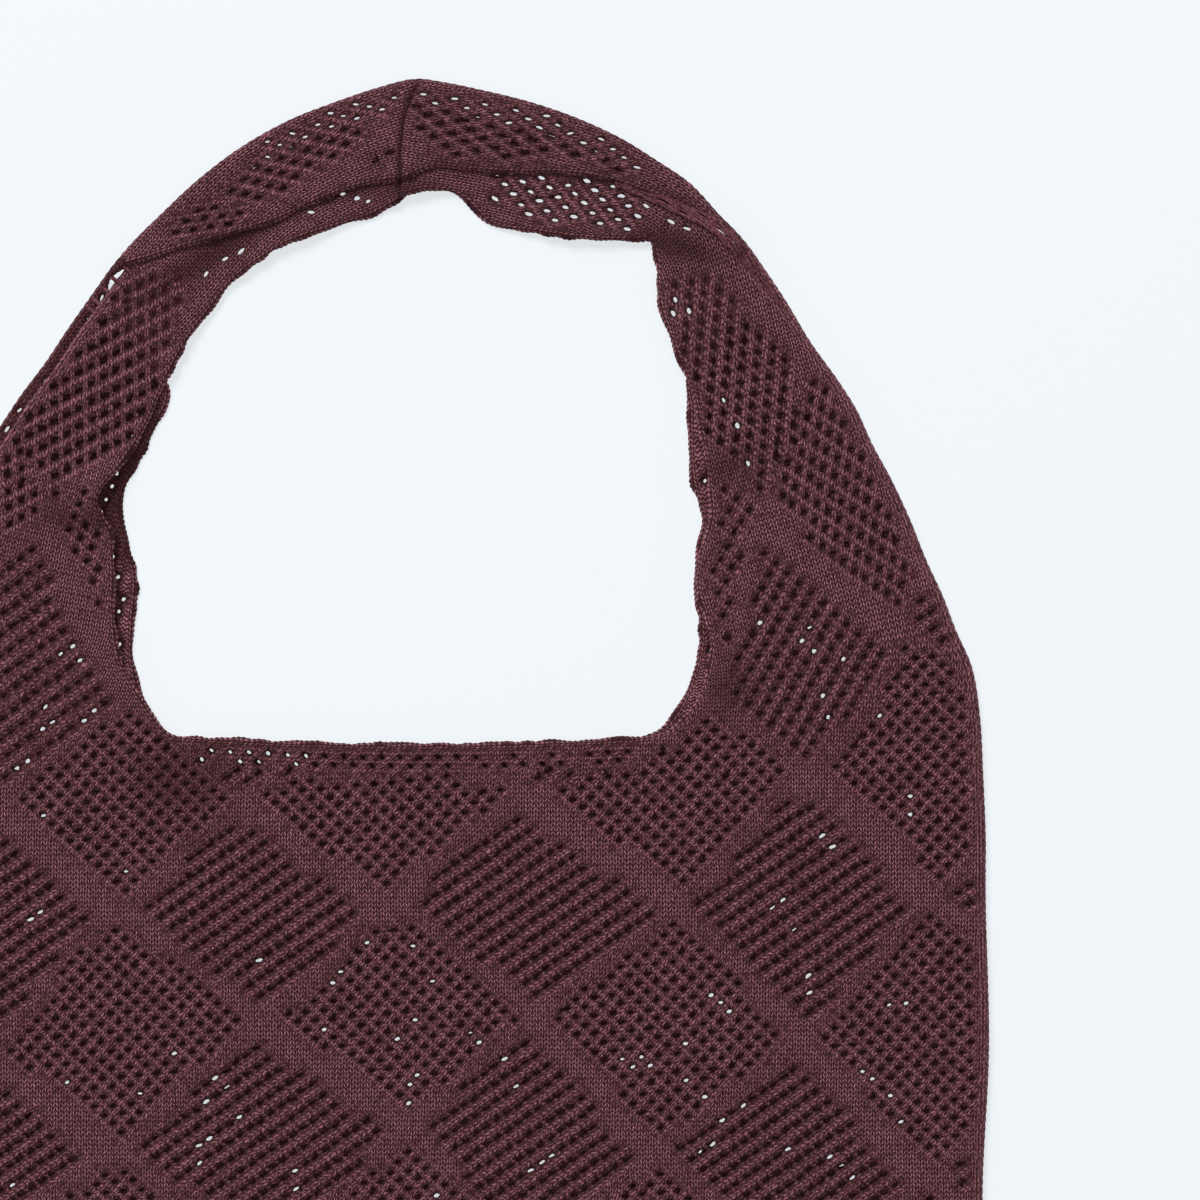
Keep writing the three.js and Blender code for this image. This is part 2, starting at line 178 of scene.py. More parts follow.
# Single eyelets and slits: panel, place, half length, half width, tilt.
SINGLES = [
    ("back", -10.4, 272.7, 1.6, 0.6, 20), ("back", -15.5, 269.7, 1.7, 0.6, 20),
    ("front", 84.4, 253.1, 1.4, 0.6, -20), ("front", 93.6, 247.2, 1.6, 0.6, -20),
    ("front", 99.5, 244.6, 1.6, 0.6, -22), ("front", -22.6, 256.0, 1.1, 0.7, 20),
    ("front", -18.5, 254.9, 1.1, 0.7, 20), ("front", -27.9, 257.6, 1.3, 0.6, 0),
    ("front", -39.6, 250.8, 1.5, 0.6, 10), ("front", -65.5, 236.4, 1.7, 0.6, 35),
    ("front", -71.4, 233.6, 1.5, 0.6, 35), ("front", -78.5, 228.0, 1.3, 0.6, 35),
    ("back", -110.4, 227.0, 2.1, 0.75, 62), ("back", -113.6, 223.2, 2.4, 0.85, 60),
    ("back", -117.1, 219.1, 2.1, 0.7, 62), ("back", -122.3, 211.2, 1.0, 0.5, 58),
    ("back", -138.2, 188.5, 1.0, 0.5, 52), ("back", -147.6, 177.6, 2.0, 0.8, 45),
    ("back", -152.2, 170.6, 2.2, 0.8, 50),
]
# The zigzag under the hem: how far below it the two rows lie, their step, the stretch in which both
# panels' line up, and the share of them that is open.
HEM_ROW_LOW, HEM_ROW_HIGH, HEM_ROW_STEP = 8.2, 5.0, 7.0
HEM_LIT, HEM_ROW_SHARE = (-88, -40), 0.8
# Plain bands at the free edge and at the rim: by single eyelets, patches, the hem's row and diamonds.
EDGE_BANDS, RIM_BANDS, HEM_BAND = [1.6, 2.6, 3.4, 4.4], [1.4, 3.0, 3.4, 4.6], 10.6
# The least distance between eyelets, where the arms' tops begin, and the strip at the rim where the
# back panel's eyelets are drawn together.
EYELET_SPACING, ARM_Y, NARROW_STRIP = 3.25, 225, 8.5
# Where an eyelet of the back panel happens to lie under one of the front's, so that light comes through.
LINED_UP = np.array([
    -24, 6, -32, 12, -28, 9, -20, 3, -16, 0, -11, -4, -6, -11, 0, -22, 6, -32, -22, -19, -26, -24, -30, -28,
    -33, -31, -95, -23, -61, -23, -56, -27, -58, -47, 46, -20, 56, -37, -26, -46, -30, -50, -34, -54, -7, -45,
    -3, -49, -7, -53, 19, -52, 23, -56, 31, -65, 36, -70, -20, -59, -16, -63, -24, -64, -92, -61, -131, -70,
    -74, -71, -77, -74, -81, -78, -73, -78, -69, -75, -68, -83, -76, -82, -75, -91, -79, -95, -82, -99,
    -103, -75, -2, -69, -6, -72, -2, -76, -6, -80, -1, -84, 5, -93, 0, -103, 8, -111, -47, -105, -43, -110,
    47, -93, 47, -101, 43, -105, 51, -97, -151, -111, -146, 46, -149, 42, -138, 26, -143, -11, -139, -7,
    -127, 93, -135, 87, -131, 90, -124, 88, -136, 63, -140, 59, -120, 66, -138, 67, -124, 63, -125, 10, -109, 8,
    118, 42, 167, 43, 182, 33, 184, 29, 152, 18, 153, 14, 149, 20, 130, -4, 136, -3, 133, -7, 103, -11,
    137, -15, 146, -21, 120, -26, 122, -30, 146, -34, 145, -39, 153, -46, 149, -51, 108, -41, 112, -43,
    115, -46, 100, -56, 87, -63, 77, -63, 80, -63, 83, -62, 100, -68, 108, -75, 174, -40, 181, -41, 185, -42,
    165, -69, 168, -72, 172, -77, 178, -83, 119, -81, 112, -88, 109, -91, 106, -95, 96, -102, 154, -98,
    158, -102, 162, -105, 138, -94, 127, 100, 145, 92, 148, 96, 144, 90, 149, 90, 157, 84, 171, 67, 172, 70,
    151, 69, 153, 66, 111, 181, 119, 171, 109, 140, 104, 196, 121, 155]).reshape(-1, 2)
# The seam across the top of the strap, from the inner edge up.
SEAM_LINE = np.array([(-5.5, 249.0), (-6.7, 258.3), (-6.7, 273.8), (-5.5, 284.9), (-2.2, 294.1), (1.0, 301.0)])
# The seam's groove, the cloth that swells beside it, and how far up the bag it starts.
GROOVE_DEPTH, GROOVE_WIDTH, SWELL_RISE, SWELL_AT, SWELL_WIDTH, SEAM_FOOT = 1.25, 1.15, 0.75, 2.9, 1.8, 245
# The mesh: points of an eyelet's rim and steps along the edges, then the pitch of the free edge's knots
# and of the linked stitches.
RIM_POINTS, OUTER_STEP, INNER_STEP, FINE_STEP = 6, 1.05, 0.62, 0.7
KNOT_PITCH, LINK_PITCH = 1.95, 3.3
# How far the lip round an eyelet lies outside its rim, the squares that thin the loose points, how far
# these keep from rims and eyelets, and how far from an eyelet the lace's pattern goes.
LIP_OUT, FREE_GAP, POINT_CLEAR, EYELET_CLEAR, LACE_REACH = 0.48, 0.8, 0.75, 3.4, 5.5
# How much painted shade darkens the yarn at an edge, a rim, the lip round it and the bottom of a blind eyelet.
EDGE_SHADE, RIM_SHADE, LIP_SHADE, BLIND_SHADE = 0.25, 0.75, 0.26, 0.85


def smooth(share):
    """Nought to one with soft ends."""
    s = np.clip(share, 0.0, 1.0)
    return s * s * (3 - 2 * s)


def body_rim(run):
    """The rim of the body's right half, run millimetres down from its top: side, round corner, bottom."""
    if run <= SIDE_RUN:
        wave = SIDE_WAVE * math.sin(TURN * run / SIDE_WAVE_LENGTH) * (1 - float(smooth(run / SIDE_RUN)))
        return BODY_HALF_WIDTH + wave, BODY_TOP_Y - run
    middle = BODY_HALF_WIDTH - BODY_CORNER
    if run <= SIDE_RUN + CORNER_RUN:
        turn = (run - SIDE_RUN) / BODY_CORNER
        return middle + BODY_CORNER * math.cos(turn), BODY_BOTTOM_Y + BODY_CORNER * (1 - math.sin(turn))
    return middle - (run - SIDE_RUN - CORNER_RUN), BODY_BOTTOM_Y


def hem_height(across):
    """Height of the hem's edge, a shallow parabola over minus one to one across."""
    return HEM_Y - HEM_DIP + HEM_DIP * across**2


def body_ribs():
    """Ribs round the body: the rim goes down one side, along the bottom and up, the hem's end across it."""
    runs = [SIDE_RUN * k / 5 for k in range(5)] + [SIDE_RUN + CORNER_RUN * k / 4 for k in range(4)]
    runs += [SIDE_RUN + CORNER_RUN + (BODY_HALF_WIDTH - BODY_CORNER) * k / 4 for k in range(4)]
    right = [body_rim(run) for run in runs]
    rims = right + [(0.0, BODY_BOTTOM_Y)] + [(-x, y) for x, y in reversed(right)]
    across = 1 - 2 * np.arange(len(rims)) / (len(rims) - 1)
    hem = np.stack([HEM_HALF_WIDTH * across, hem_height(across)], 1)
    return [(*rim, *h, *h, 0.8) for rim, h in zip(rims, hem)]


RIBS = np.array(RIGHT_ARM + body_ribs() + LEFT_ARM, float)


def through(points, per_span):
    """A closed centripetal Catmull-Rom curve through the points, per_span samples between neighbours."""
    p0, p1, p2, p3 = (np.roll(points, k, axis=0) for k in (1, 0, -1, -2))
    gap = lambda a, b: np.maximum(np.sum((a - b) ** 2, 1) ** 0.25, 1e-4)[:, None]
    d0, d1, d2 = gap(p0, p1), gap(p1, p2), gap(p2, p3)
    t1 = ((p1 - p0) / d0 - (p2 - p0) / (d0 + d1) + (p2 - p1) / d1) * d1
    t2 = ((p2 - p1) / d1 - (p3 - p1) / (d1 + d2) + (p3 - p2) / d2) * d1
    t = (np.arange(per_span) / per_span)[None, :, None]
    a, b = p1[:, None], t1[:, None]
    c = (-3 * p1 + 3 * p2 - 2 * t1 - t2)[:, None]
    d = (2 * p1 - 2 * p2 + t1 + t2)[:, None]
    return (a + b * t + c * t**2 + d * t**3).reshape(-1, points.shape[1])


def lengths(vectors):
    """The length of each vector."""
    return np.linalg.norm(vectors, axis=-1)


def distance_run(path):
    """The distance run along a path at each of its points."""
    return np.concatenate([[0], np.cumsum(lengths(np.diff(path, axis=0)))])


def evenly(loop, step):
    """The closed line again with points about step apart, and the distance run at each."""
    closed = np.vstack([loop, loop[:1]])
    run = distance_run(closed[:, :2])
    count = int(round(run[-1] / step))
    at = np.arange(count) * run[-1] / count
    return np.stack([np.interp(at, run, closed[:, k]) for k in range(loop.shape[1])], 1), at


def leftwards(loop):
    """Unit normals to the left of a closed line's direction."""
    along = np.roll(loop, -1, axis=0) - np.roll(loop, 1, axis=0)
    along /= lengths(along)[:, None]
    return np.stack([-along[:, 1], along[:, 0]], 1)


def outlines(panel):
    """The panel's outer and inner edge as closed fine lines, clockwise, the front's outer edge set inwards."""
    rim = through(RIBS[:, [0, 1, 6]], 24)
    if panel == "back":
        rim[:, 2] = 0
    outer = rim[:, :2] - leftwards(rim[:, :2]) * rim[:, 2:3]
    columns = [2, 3] if panel == "front" else [4, 5]
    return outer, through(RIBS[:, columns], 24)


def wander(x, y, seed, wave, rise):
    """A gentle unevenness: five sine waves of random direction and phase."""
    rng = np.random.default_rng(seed)
    total = 0.0
    for turn, phase, stretch in zip(rng.uniform(0, math.pi, 5), rng.uniform(0, 6.3, 5), rng.uniform(0.7, 1.5, 5)):
        total = total + np.sin((x * math.cos(turn) + y * math.sin(turn)) * TURN / (wave * stretch) + phase)
    return rise * total / 2.2


def along_spine(table, r):
    """A smooth line through the table's rows, each taken at its own r: place and step of one c."""
    knots, rows = table[:, 0], table[:, 1:]
    h = np.diff(knots)[:, None]
    slope = np.diff(rows, axis=0) / h
    lean = np.vstack([slope[:1], (slope[:-1] * h[1:] + slope[1:] * h[:-1]) / (h[1:] + h[:-1]), slope[-1:]])
    i = np.clip(np.searchsorted(knots, r, side="right") - 1, 0, len(knots) - 2)
    span = (knots[i + 1] - knots[i])[..., None]
    t = (r - knots[i])[..., None] / span
    return ((2 * t**3 - 3 * t**2 + 1) * rows[i] + (t**3 - 2 * t**2 + t) * span * lean[i]
            + (3 * t**2 - 2 * t**3) * rows[i + 1] + (t**3 - t**2) * span * lean[i + 1])


def fabric_place(c, r):
    """Where a spot of the pattern lies: out from each arm's spine, the two shared over the middle, plus slips."""
    right, left = along_spine(RIGHT_SPINE, r), along_spine(LEFT_SPINE, r)
    share = smooth((c + 1) / 2)[..., None]
    place = (right[..., :2] + (c - 3)[..., None] * right[..., 2:]) * share
    place = place + (left[..., :2] + (c + 3)[..., None] * left[..., 2:]) * (1 - share)
    home = np.stack([-9.25 + 50.51 * SLIPS[:, 0], -5.5 + 43.66 * SLIPS[:, 1]], 1)
    near = np.exp(-np.sum((place[..., None, :] - home) ** 2, -1) / SLIP_REACH**2)
    return place + (near @ SLIPS[:, 2:]) / (near.sum(-1, keepdims=True) + 0.25)


def past_neck(x, y):
    """How far a point is past the nearer neck, towards the top of the strap."""
    return np.minimum(*((x - nx) * tx + (y - ny) * ty for nx, ny, tx, ty in (LEFT_NECK, RIGHT_NECK)))


def mounds(table, kind, x, y):
    """A table's soft mounds of one kind added up: each is a round-topped ridge that dies away."""
    total = np.zeros_like(x)
    for does, mx, my, along, length, width, rise in table:
        if does == kind:
            turn = math.radians(along)
            u = ((x - mx) * math.cos(turn) + (y - my) * math.sin(turn)) / length
            v = ((y - my) * math.cos(turn) - (x - mx) * math.sin(turn)) / width
            total += rise * np.exp(-u * u - v * v)
    return total


def layers_below(panel, past):
    """How many layers are under the panel: the front lies on the back, but between the necks under it."""
    crossed = smooth(past / CROSSING_LENGTH)
    if panel == "front":
        return 1 - crossed
    return np.where(past < 0, 2 * smooth((past + NECK_LENGTH) / NECK_LENGTH), 2 - crossed)


def underside(panel, x, y):
    """Height of the panel's underside: the lift, and a layer for each layer below it."""
    layer = CAD_THICK + LAYER_GAP + mounds(FOLDS, "swell", x, y)
    return mounds(FOLDS, "lift", x, y) + layer * layers_below(panel, past_neck(x, y))


def nearest(points, line, index=False):
    """Distance from each point to the nearest point of a finely divided line, and which that is."""
    out, at = np.empty(len(points)), np.empty(len(points), int)
    for k in range(0, len(points), 3000):
        block = points[k:k + 3000]
        gap = (block[:, None, 0] - line[None, :, 0]) ** 2 + (block[:, None, 1] - line[None, :, 1]) ** 2
        at[k:k + 3000] = gap.argmin(1)
        out[k:k + 3000] = np.sqrt(gap.min(1))
    return (out, at) if index else out


def within(points, loop):
    """Whether each point is inside a closed line, by counting the edges that a level ray crosses."""
    out = np.empty(len(points), bool)
    a, b = loop, np.roll(loop, -1, axis=0)
    rise = np.where(b[:, 1] == a[:, 1], 1e-9, b[:, 1] - a[:, 1])
    for k in range(0, len(points), 4000):
        x, y = points[k:k + 4000, 0:1], points[k:k + 4000, 1:2]
        crosses = (a[:, 1] > y) != (b[:, 1] > y)
        out[k:k + 4000] = np.sum(crosses & (x < a[:, 0] + (y - a[:, 1]) / rise * (b[:, 0] - a[:, 0])), 1) % 2 == 1
    return out


def in_cloth(points, outer, inner):
    """Whether each point lies between a panel's outer edge and its inner one."""
    return within(points, outer) & ~within(points, inner)


def seam_distance(x, y):
    """How far to the right of the strap's top seam a point is."""
    return x - np.interp(y, SEAM_LINE[:, 1], SEAM_LINE[:, 0])


def pattern_spot(place, c0, r0):
    """The pattern's map read backwards near a diamond's middle, by correcting a first guess."""
    middle = np.array([float(c0)]), np.array([float(r0)])
    here = fabric_place(*middle)[0]
    across = fabric_place(middle[0] + 0.05, middle[1])[0] - here
    up = fabric_place(middle[0], middle[1] + 0.05)[0] - here
    back = np.linalg.inv(np.stack([across, up], 1) / 0.05).T
    spot = np.array([[float(c0), float(r0)]]) + (place - here) @ back
    for _ in range(8):
        spot += np.clip((place - fabric_place(spot[:, 0], spot[:, 1])) @ back, -0.15, 0.15)
    return spot


def lattice(first, shift, step_a, step_b):
    """Places of a lattice of eyelets round the first one."""
    i, j = (g.ravel() + shift for g in np.meshgrid(np.arange(-16, 17), np.arange(-16, 17)))
    return np.array(first) + i[:, None] * step_a + j[:, None] * step_b


def eyelet_rows(place, long, short, tilt, step_a, step_b, ridged):
    """A row for each eyelet: place, half sizes, tilt in radians, the two steps, and whether it is ridged."""
    row = [long, short, math.radians(tilt), *step_a, *step_b, ridged]
    return np.column_stack([place, np.tile(row, (len(place), 1))])


def diamond_eyelets(panel):
    """Eyelets of every diamond: a lattice of steps from its middle, kept clear of the bands round it."""
    found = []
    for c0 in range(-6, 7):
        for r0 in range(-8, 6):
            if (c0 + r0) % 2 == 0:
                continue
            middle = fabric_place(np.array([float(c0)]), np.array([float(r0)]))[0]
            if abs(middle[0]) > 275 or middle[1] < -350:
                continue
            step_a, step_b, long, short, tilt = DIAMONDS.get((c0, r0), RIDGED if r0 % 2 == 0 else STAGGERED)
            place = lattice(middle, 0.0 if panel == "front" else 0.5, step_a, step_b)
            place = place[lengths(place - middle) < 66]
            spot = pattern_spot(place, c0, r0)
            miss = lengths(fabric_place(*spot.T) - place)
            c, r = spot[:, 0] - c0, spot[:, 1] - r0
            dp, dq = (c + r) / 2, (c - r) / 2
            upper, lower = (WIDE_BAND, NARROW_BAND) if r0 % 2 == 0 else (NARROW_BAND, THIN_BAND)
            keep = (dp < 0.5 - upper) & (dp > -0.5 + lower) & (np.abs(dq) < 0.5 - CROSS_BAND) & (miss < 1)
            found.append(eyelet_rows(place[keep], long, short, tilt, step_a, step_b, 1.0 if r0 % 2 == 0 else 0.0))
    eyes = np.vstack(found)
    return eyes[past_neck(eyes[:, 0], eyes[:, 1]) < -3]


def patch_eyelets(panel):
    """Eyelets of the strap's patches: a lattice from the first one, kept inside the patch's outline."""
    found = []
    for where, first, step_a, step_b, long, short, tilt, outline in PATCHES:
        if where == panel:
            place = lattice(first, 0, step_a, step_b)
            place = place[within(place, np.array(outline, float))]
            found.append(eyelet_rows(place, long, short, tilt, step_a, step_b, 0.0))
    return np.vstack(found)


def hem_eyelets(panel):
    """A zigzag of eyelets under the hem's rolled edge. The two panels' line up only in one stretch."""
    x = np.arange(-80, 79, HEM_ROW_STEP)
    if panel == "back":
        x += np.where((x > HEM_LIT[0]) & (x < HEM_LIT[1]), 0.0, HEM_ROW_STEP * 0.24)
    hem = hem_height(x / HEM_HALF_WIDTH)
    place = np.vstack([np.stack([x, hem - HEM_ROW_LOW], 1),
                       np.stack([x + HEM_ROW_STEP / 2, hem - HEM_ROW_HIGH], 1)])
    place = place[np.random.default_rng(8).uniform(size=len(place)) < HEM_ROW_SHARE]
    steps = (HEM_ROW_STEP, 0.0), (HEM_ROW_STEP / 2, HEM_ROW_LOW - HEM_ROW_HIGH)
    return eyelet_rows(place, 1.2, 0.78, -40, *steps, 0.0)


def single_eyelets(panel):
    """The strap's single slits, with no lattice round them."""
    rows = [eyelet_rows([[x, y]], long, short, tilt, (5.0, 0), (0, 5.0), -1.0)
            for where, x, y, long, short, tilt in SINGLES if where == panel]
    return np.vstack(rows)


def kept_eyelets(panel, front_eyes=None):
    """All the panel's eyelets with a little unevenness, clear of its edges, its top seam and each other.
    The back panel's fall between the front's but for those charted as lined up. The last two
    columns but one are where each eyelet's lattice has it, and the last is one where it is a closed
    pit, its bottom darkened by painted shade, and not a hole to what lies under the bag. Those come at the end."""
    rng = np.random.default_rng(5 if panel == "front" else 6)
    outer_line, inner_line = outlines(panel)
    fine_outer, fine_inner = evenly(outer_line, FINE_STEP)[0], evenly(inner_line, FINE_STEP)[0]
    groups = [single_eyelets(panel), patch_eyelets(panel), hem_eyelets(panel), diamond_eyelets(panel)]
    single, patch, hem_row, diamond = range(4)
    eyes = np.vstack(groups)
    group = np.repeat(np.arange(4), [len(g) for g in groups])
    if panel == "back":
        loose = (group == diamond) & (eyes[:, 1] < ARM_Y)
        for axis in (0, 1):
            eyes[:, axis] += np.where(loose, wander(eyes[:, 0], eyes[:, 1], 21 + axis, 90, 0.5), 0)
    eyes = np.column_stack([eyes, eyes[:, :2]])
    eyes[:, :2] += np.where(group[:, None] == single, 0, rng.normal(0, 0.17, (len(eyes), 2)))
    if panel == "back":
        gap = lengths(front_eyes[None, :, :2] - LINED_UP[:, None])
        chosen = front_eyes[np.unique(gap.argmin(1)[gap.min(1) < 4])]
        moved = lengths(eyes[None, :, :2] - chosen[:, None, :2]).argmin(1)
        eyes[moved, :2] = chosen[:, :2] + rng.normal(0, 0.3, (len(chosen), 2))
    keep = in_cloth(eyes[:, :2], outer_line, inner_line)
    eyes, group = eyes[keep], group[keep]
    x, y = eyes[:, 0], eyes[:, 1]
    from_outer, from_inner = nearest(eyes[:, :2], fine_outer), nearest(eyes[:, :2], fine_inner)
    under_hem = (group == diamond) & (np.abs(x) < 84) & (y > 30) & (y < 60)
    keep = from_inner > np.where(under_hem, HEM_BAND, np.choose(group, EDGE_BANDS))
    keep &= from_outer > np.choose(group, RIM_BANDS)
    if panel == "back":
        keep &= (group != patch) | (x > -60) | (from_outer > NARROW_STRIP)
    keep &= (group != diamond) | (y < SEAM_FOOT) | (np.abs(seam_distance(x, y)) > 3.4)
    eyes, group = eyes[keep], group[keep]
    order = np.argsort(eyes[:, 0], kind="stable")
    crowded = np.zeros(len(eyes), bool)
    for step in range(1, 60):
        first, second = order[:-step], order[step:]
        near = lengths(eyes[first, :2] - eyes[second, :2]) < EYELET_SPACING
        crowded[np.maximum(first, second)[near]] = True
    eyes, group = eyes[~crowded], group[~crowded]
    x, y = eyes[:, 0], eyes[:, 1]
    beneath = outlines("back")
    backed = in_cloth(eyes[:, :2], *beneath) & (nearest(eyes[:, :2], evenly(beneath[1], FINE_STEP)[0]) > 2.2)
    on_arm = (group == diamond) | (group == patch) & (y < 232)
    blind = (panel == "front") & on_arm & ~backed & (np.hypot(x - 94, y - 216) > 7)
    size = np.where(group == diamond, rng.uniform(0.8, 1.02, len(eyes)), rng.uniform(0.85, 1.15, len(eyes)))
    if panel == "back":
        lit = lengths(eyes[None, :, :2] - chosen[:, None, :2]).min(0) < 1.5
        size = np.where(lit, 1.15, size * np.where(y < ARM_Y, 0.8, 1))
        size *= np.where(nearest(eyes[:, :2], fine_outer) < NARROW_STRIP, 0.78, 1)
    far_hem = (group == hem_row) & (x > HEM_LIT[1])
    eyes[:, 2:4] *= (size * np.where(far_hem, 0.74, 1))[:, None]
    return np.column_stack([eyes, blind])[np.argsort(blind, kind="stable")]


def stitch_count(x, y, table):
    """Stitches across and up at a point: straight up in the body, and measured off the arm's spine above it."""
    sign = np.sign(table[0, 1])
    r = np.linspace(0.9, 8, 700)
    spine = along_spine(table, r)[:, :2]
    step = np.gradient(spine, axis=0)
    run = distance_run(spine)
    side = np.stack([step[:, 1], -step[:, 0]], 1) / lengths(step)[:, None]
    place = np.stack([x, y], 1)
    index = nearest(place, spine, True)[1]
    from_spine = place - spine[index]
    out = np.sum(from_spine * side[index], 1)
    forward = np.sum(from_spine * step[index], 1) / lengths(step[index])
    arm_u = sign * 72.5 + out / STITCH_WIDE
    arm_v = (spine[0, 1] + 5.5 + run[index] + forward) / STITCH_HIGH
    body_u, body_v = (x + 9.25) / STITCH_WIDE, (y + 5.5) / STITCH_HIGH
    share = smooth((y - 48) / 50)
    lean = wander(x, y, 11, 120, 0.35)
    return np.stack([body_u * (1 - share) + arm_u * share + lean, body_v * (1 - share) + arm_v * share], 1)


def cell_of(x, y):
    """Row and column of a chart in half millimetres that takes in the whole bag."""
    return np.clip(((y + 315) * 2).astype(int), 0, 1259), np.clip(((x + 225) * 2).astype(int), 0, 899)


def nearest_spot(spots, reach):
    """A chart of the nearest of the spots, or -1 where none is within reach: each spot marks the cells
    round it, one step of the pattern of steps at a time, where it is nearer than what is marked."""
    chart, least = np.full((1260, 900), -1), np.full((1260, 900), reach**2)
    steps = np.arange(-int(reach * 2), int(reach * 2) + 1) / 2
    for dx in steps:
        for dy in steps[np.hypot(dx, steps) <= reach]:
            row, column = cell_of(spots[:, 0] + dx, spots[:, 1] + dy)
            gap = ((column + 0.5) / 2 - 225 - spots[:, 0]) ** 2 + ((row + 0.5) / 2 - 315 - spots[:, 1]) ** 2
            nearer = gap < least[row, column]
            least[row[nearer], column[nearer]] = gap[nearer]
            chart[row[nearer], column[nearer]] = np.flatnonzero(nearer)
    return chart


def lace_steps(points, eyes, which):
    """Points counted in an eyelet's own two steps from where its lattice has it."""
    a, b = eyes[which, 5:7], eyes[which, 7:9]
    off = points - eyes[which, 10:12]
    area = a[:, 0] * b[:, 1] - a[:, 1] * b[:, 0]
    return np.stack([(off[:, 0] * b[:, 1] - off[:, 1] * b[:, 0]) / area,
                     (a[:, 0] * off[:, 1] - a[:, 1] * off[:, 0]) / area], 1)


def lace_valley(steps, ridged):
    """One at an eyelet and nought on the yarn's ridges: a raised cosine along each step, and where the
    lace is ridged the valley goes on between the eyelets of a row."""
    row, column = (0.5 + 0.5 * np.cos(TURN * steps)).T
    return row * np.where(ridged > 0.5, 0.6 + 0.4 * column, column)


def triangles(points, edges):
    """Delaunay triangles of the points that keep the given edges, each counter-clockwise."""
    verts, _, faces = delaunay_2d_cdt([tuple(p) for p in points.tolist()], edges.tolist(), [], 0, 1e-7, False)[:3]
    faces = np.array(faces, int)
    if len(verts) != len(points):
        raise ValueError(f"{len(verts) - len(points)} edges cross")
    a, b, c = points[faces[:, 0]], points[faces[:, 1]], points[faces[:, 2]]
    turn = (b[:, 0] - a[:, 0]) * (c[:, 1] - a[:, 1]) - (b[:, 1] - a[:, 1]) * (c[:, 0] - a[:, 0])
    return np.where(turn[:, None] > 0, faces, faces[:, ::-1])


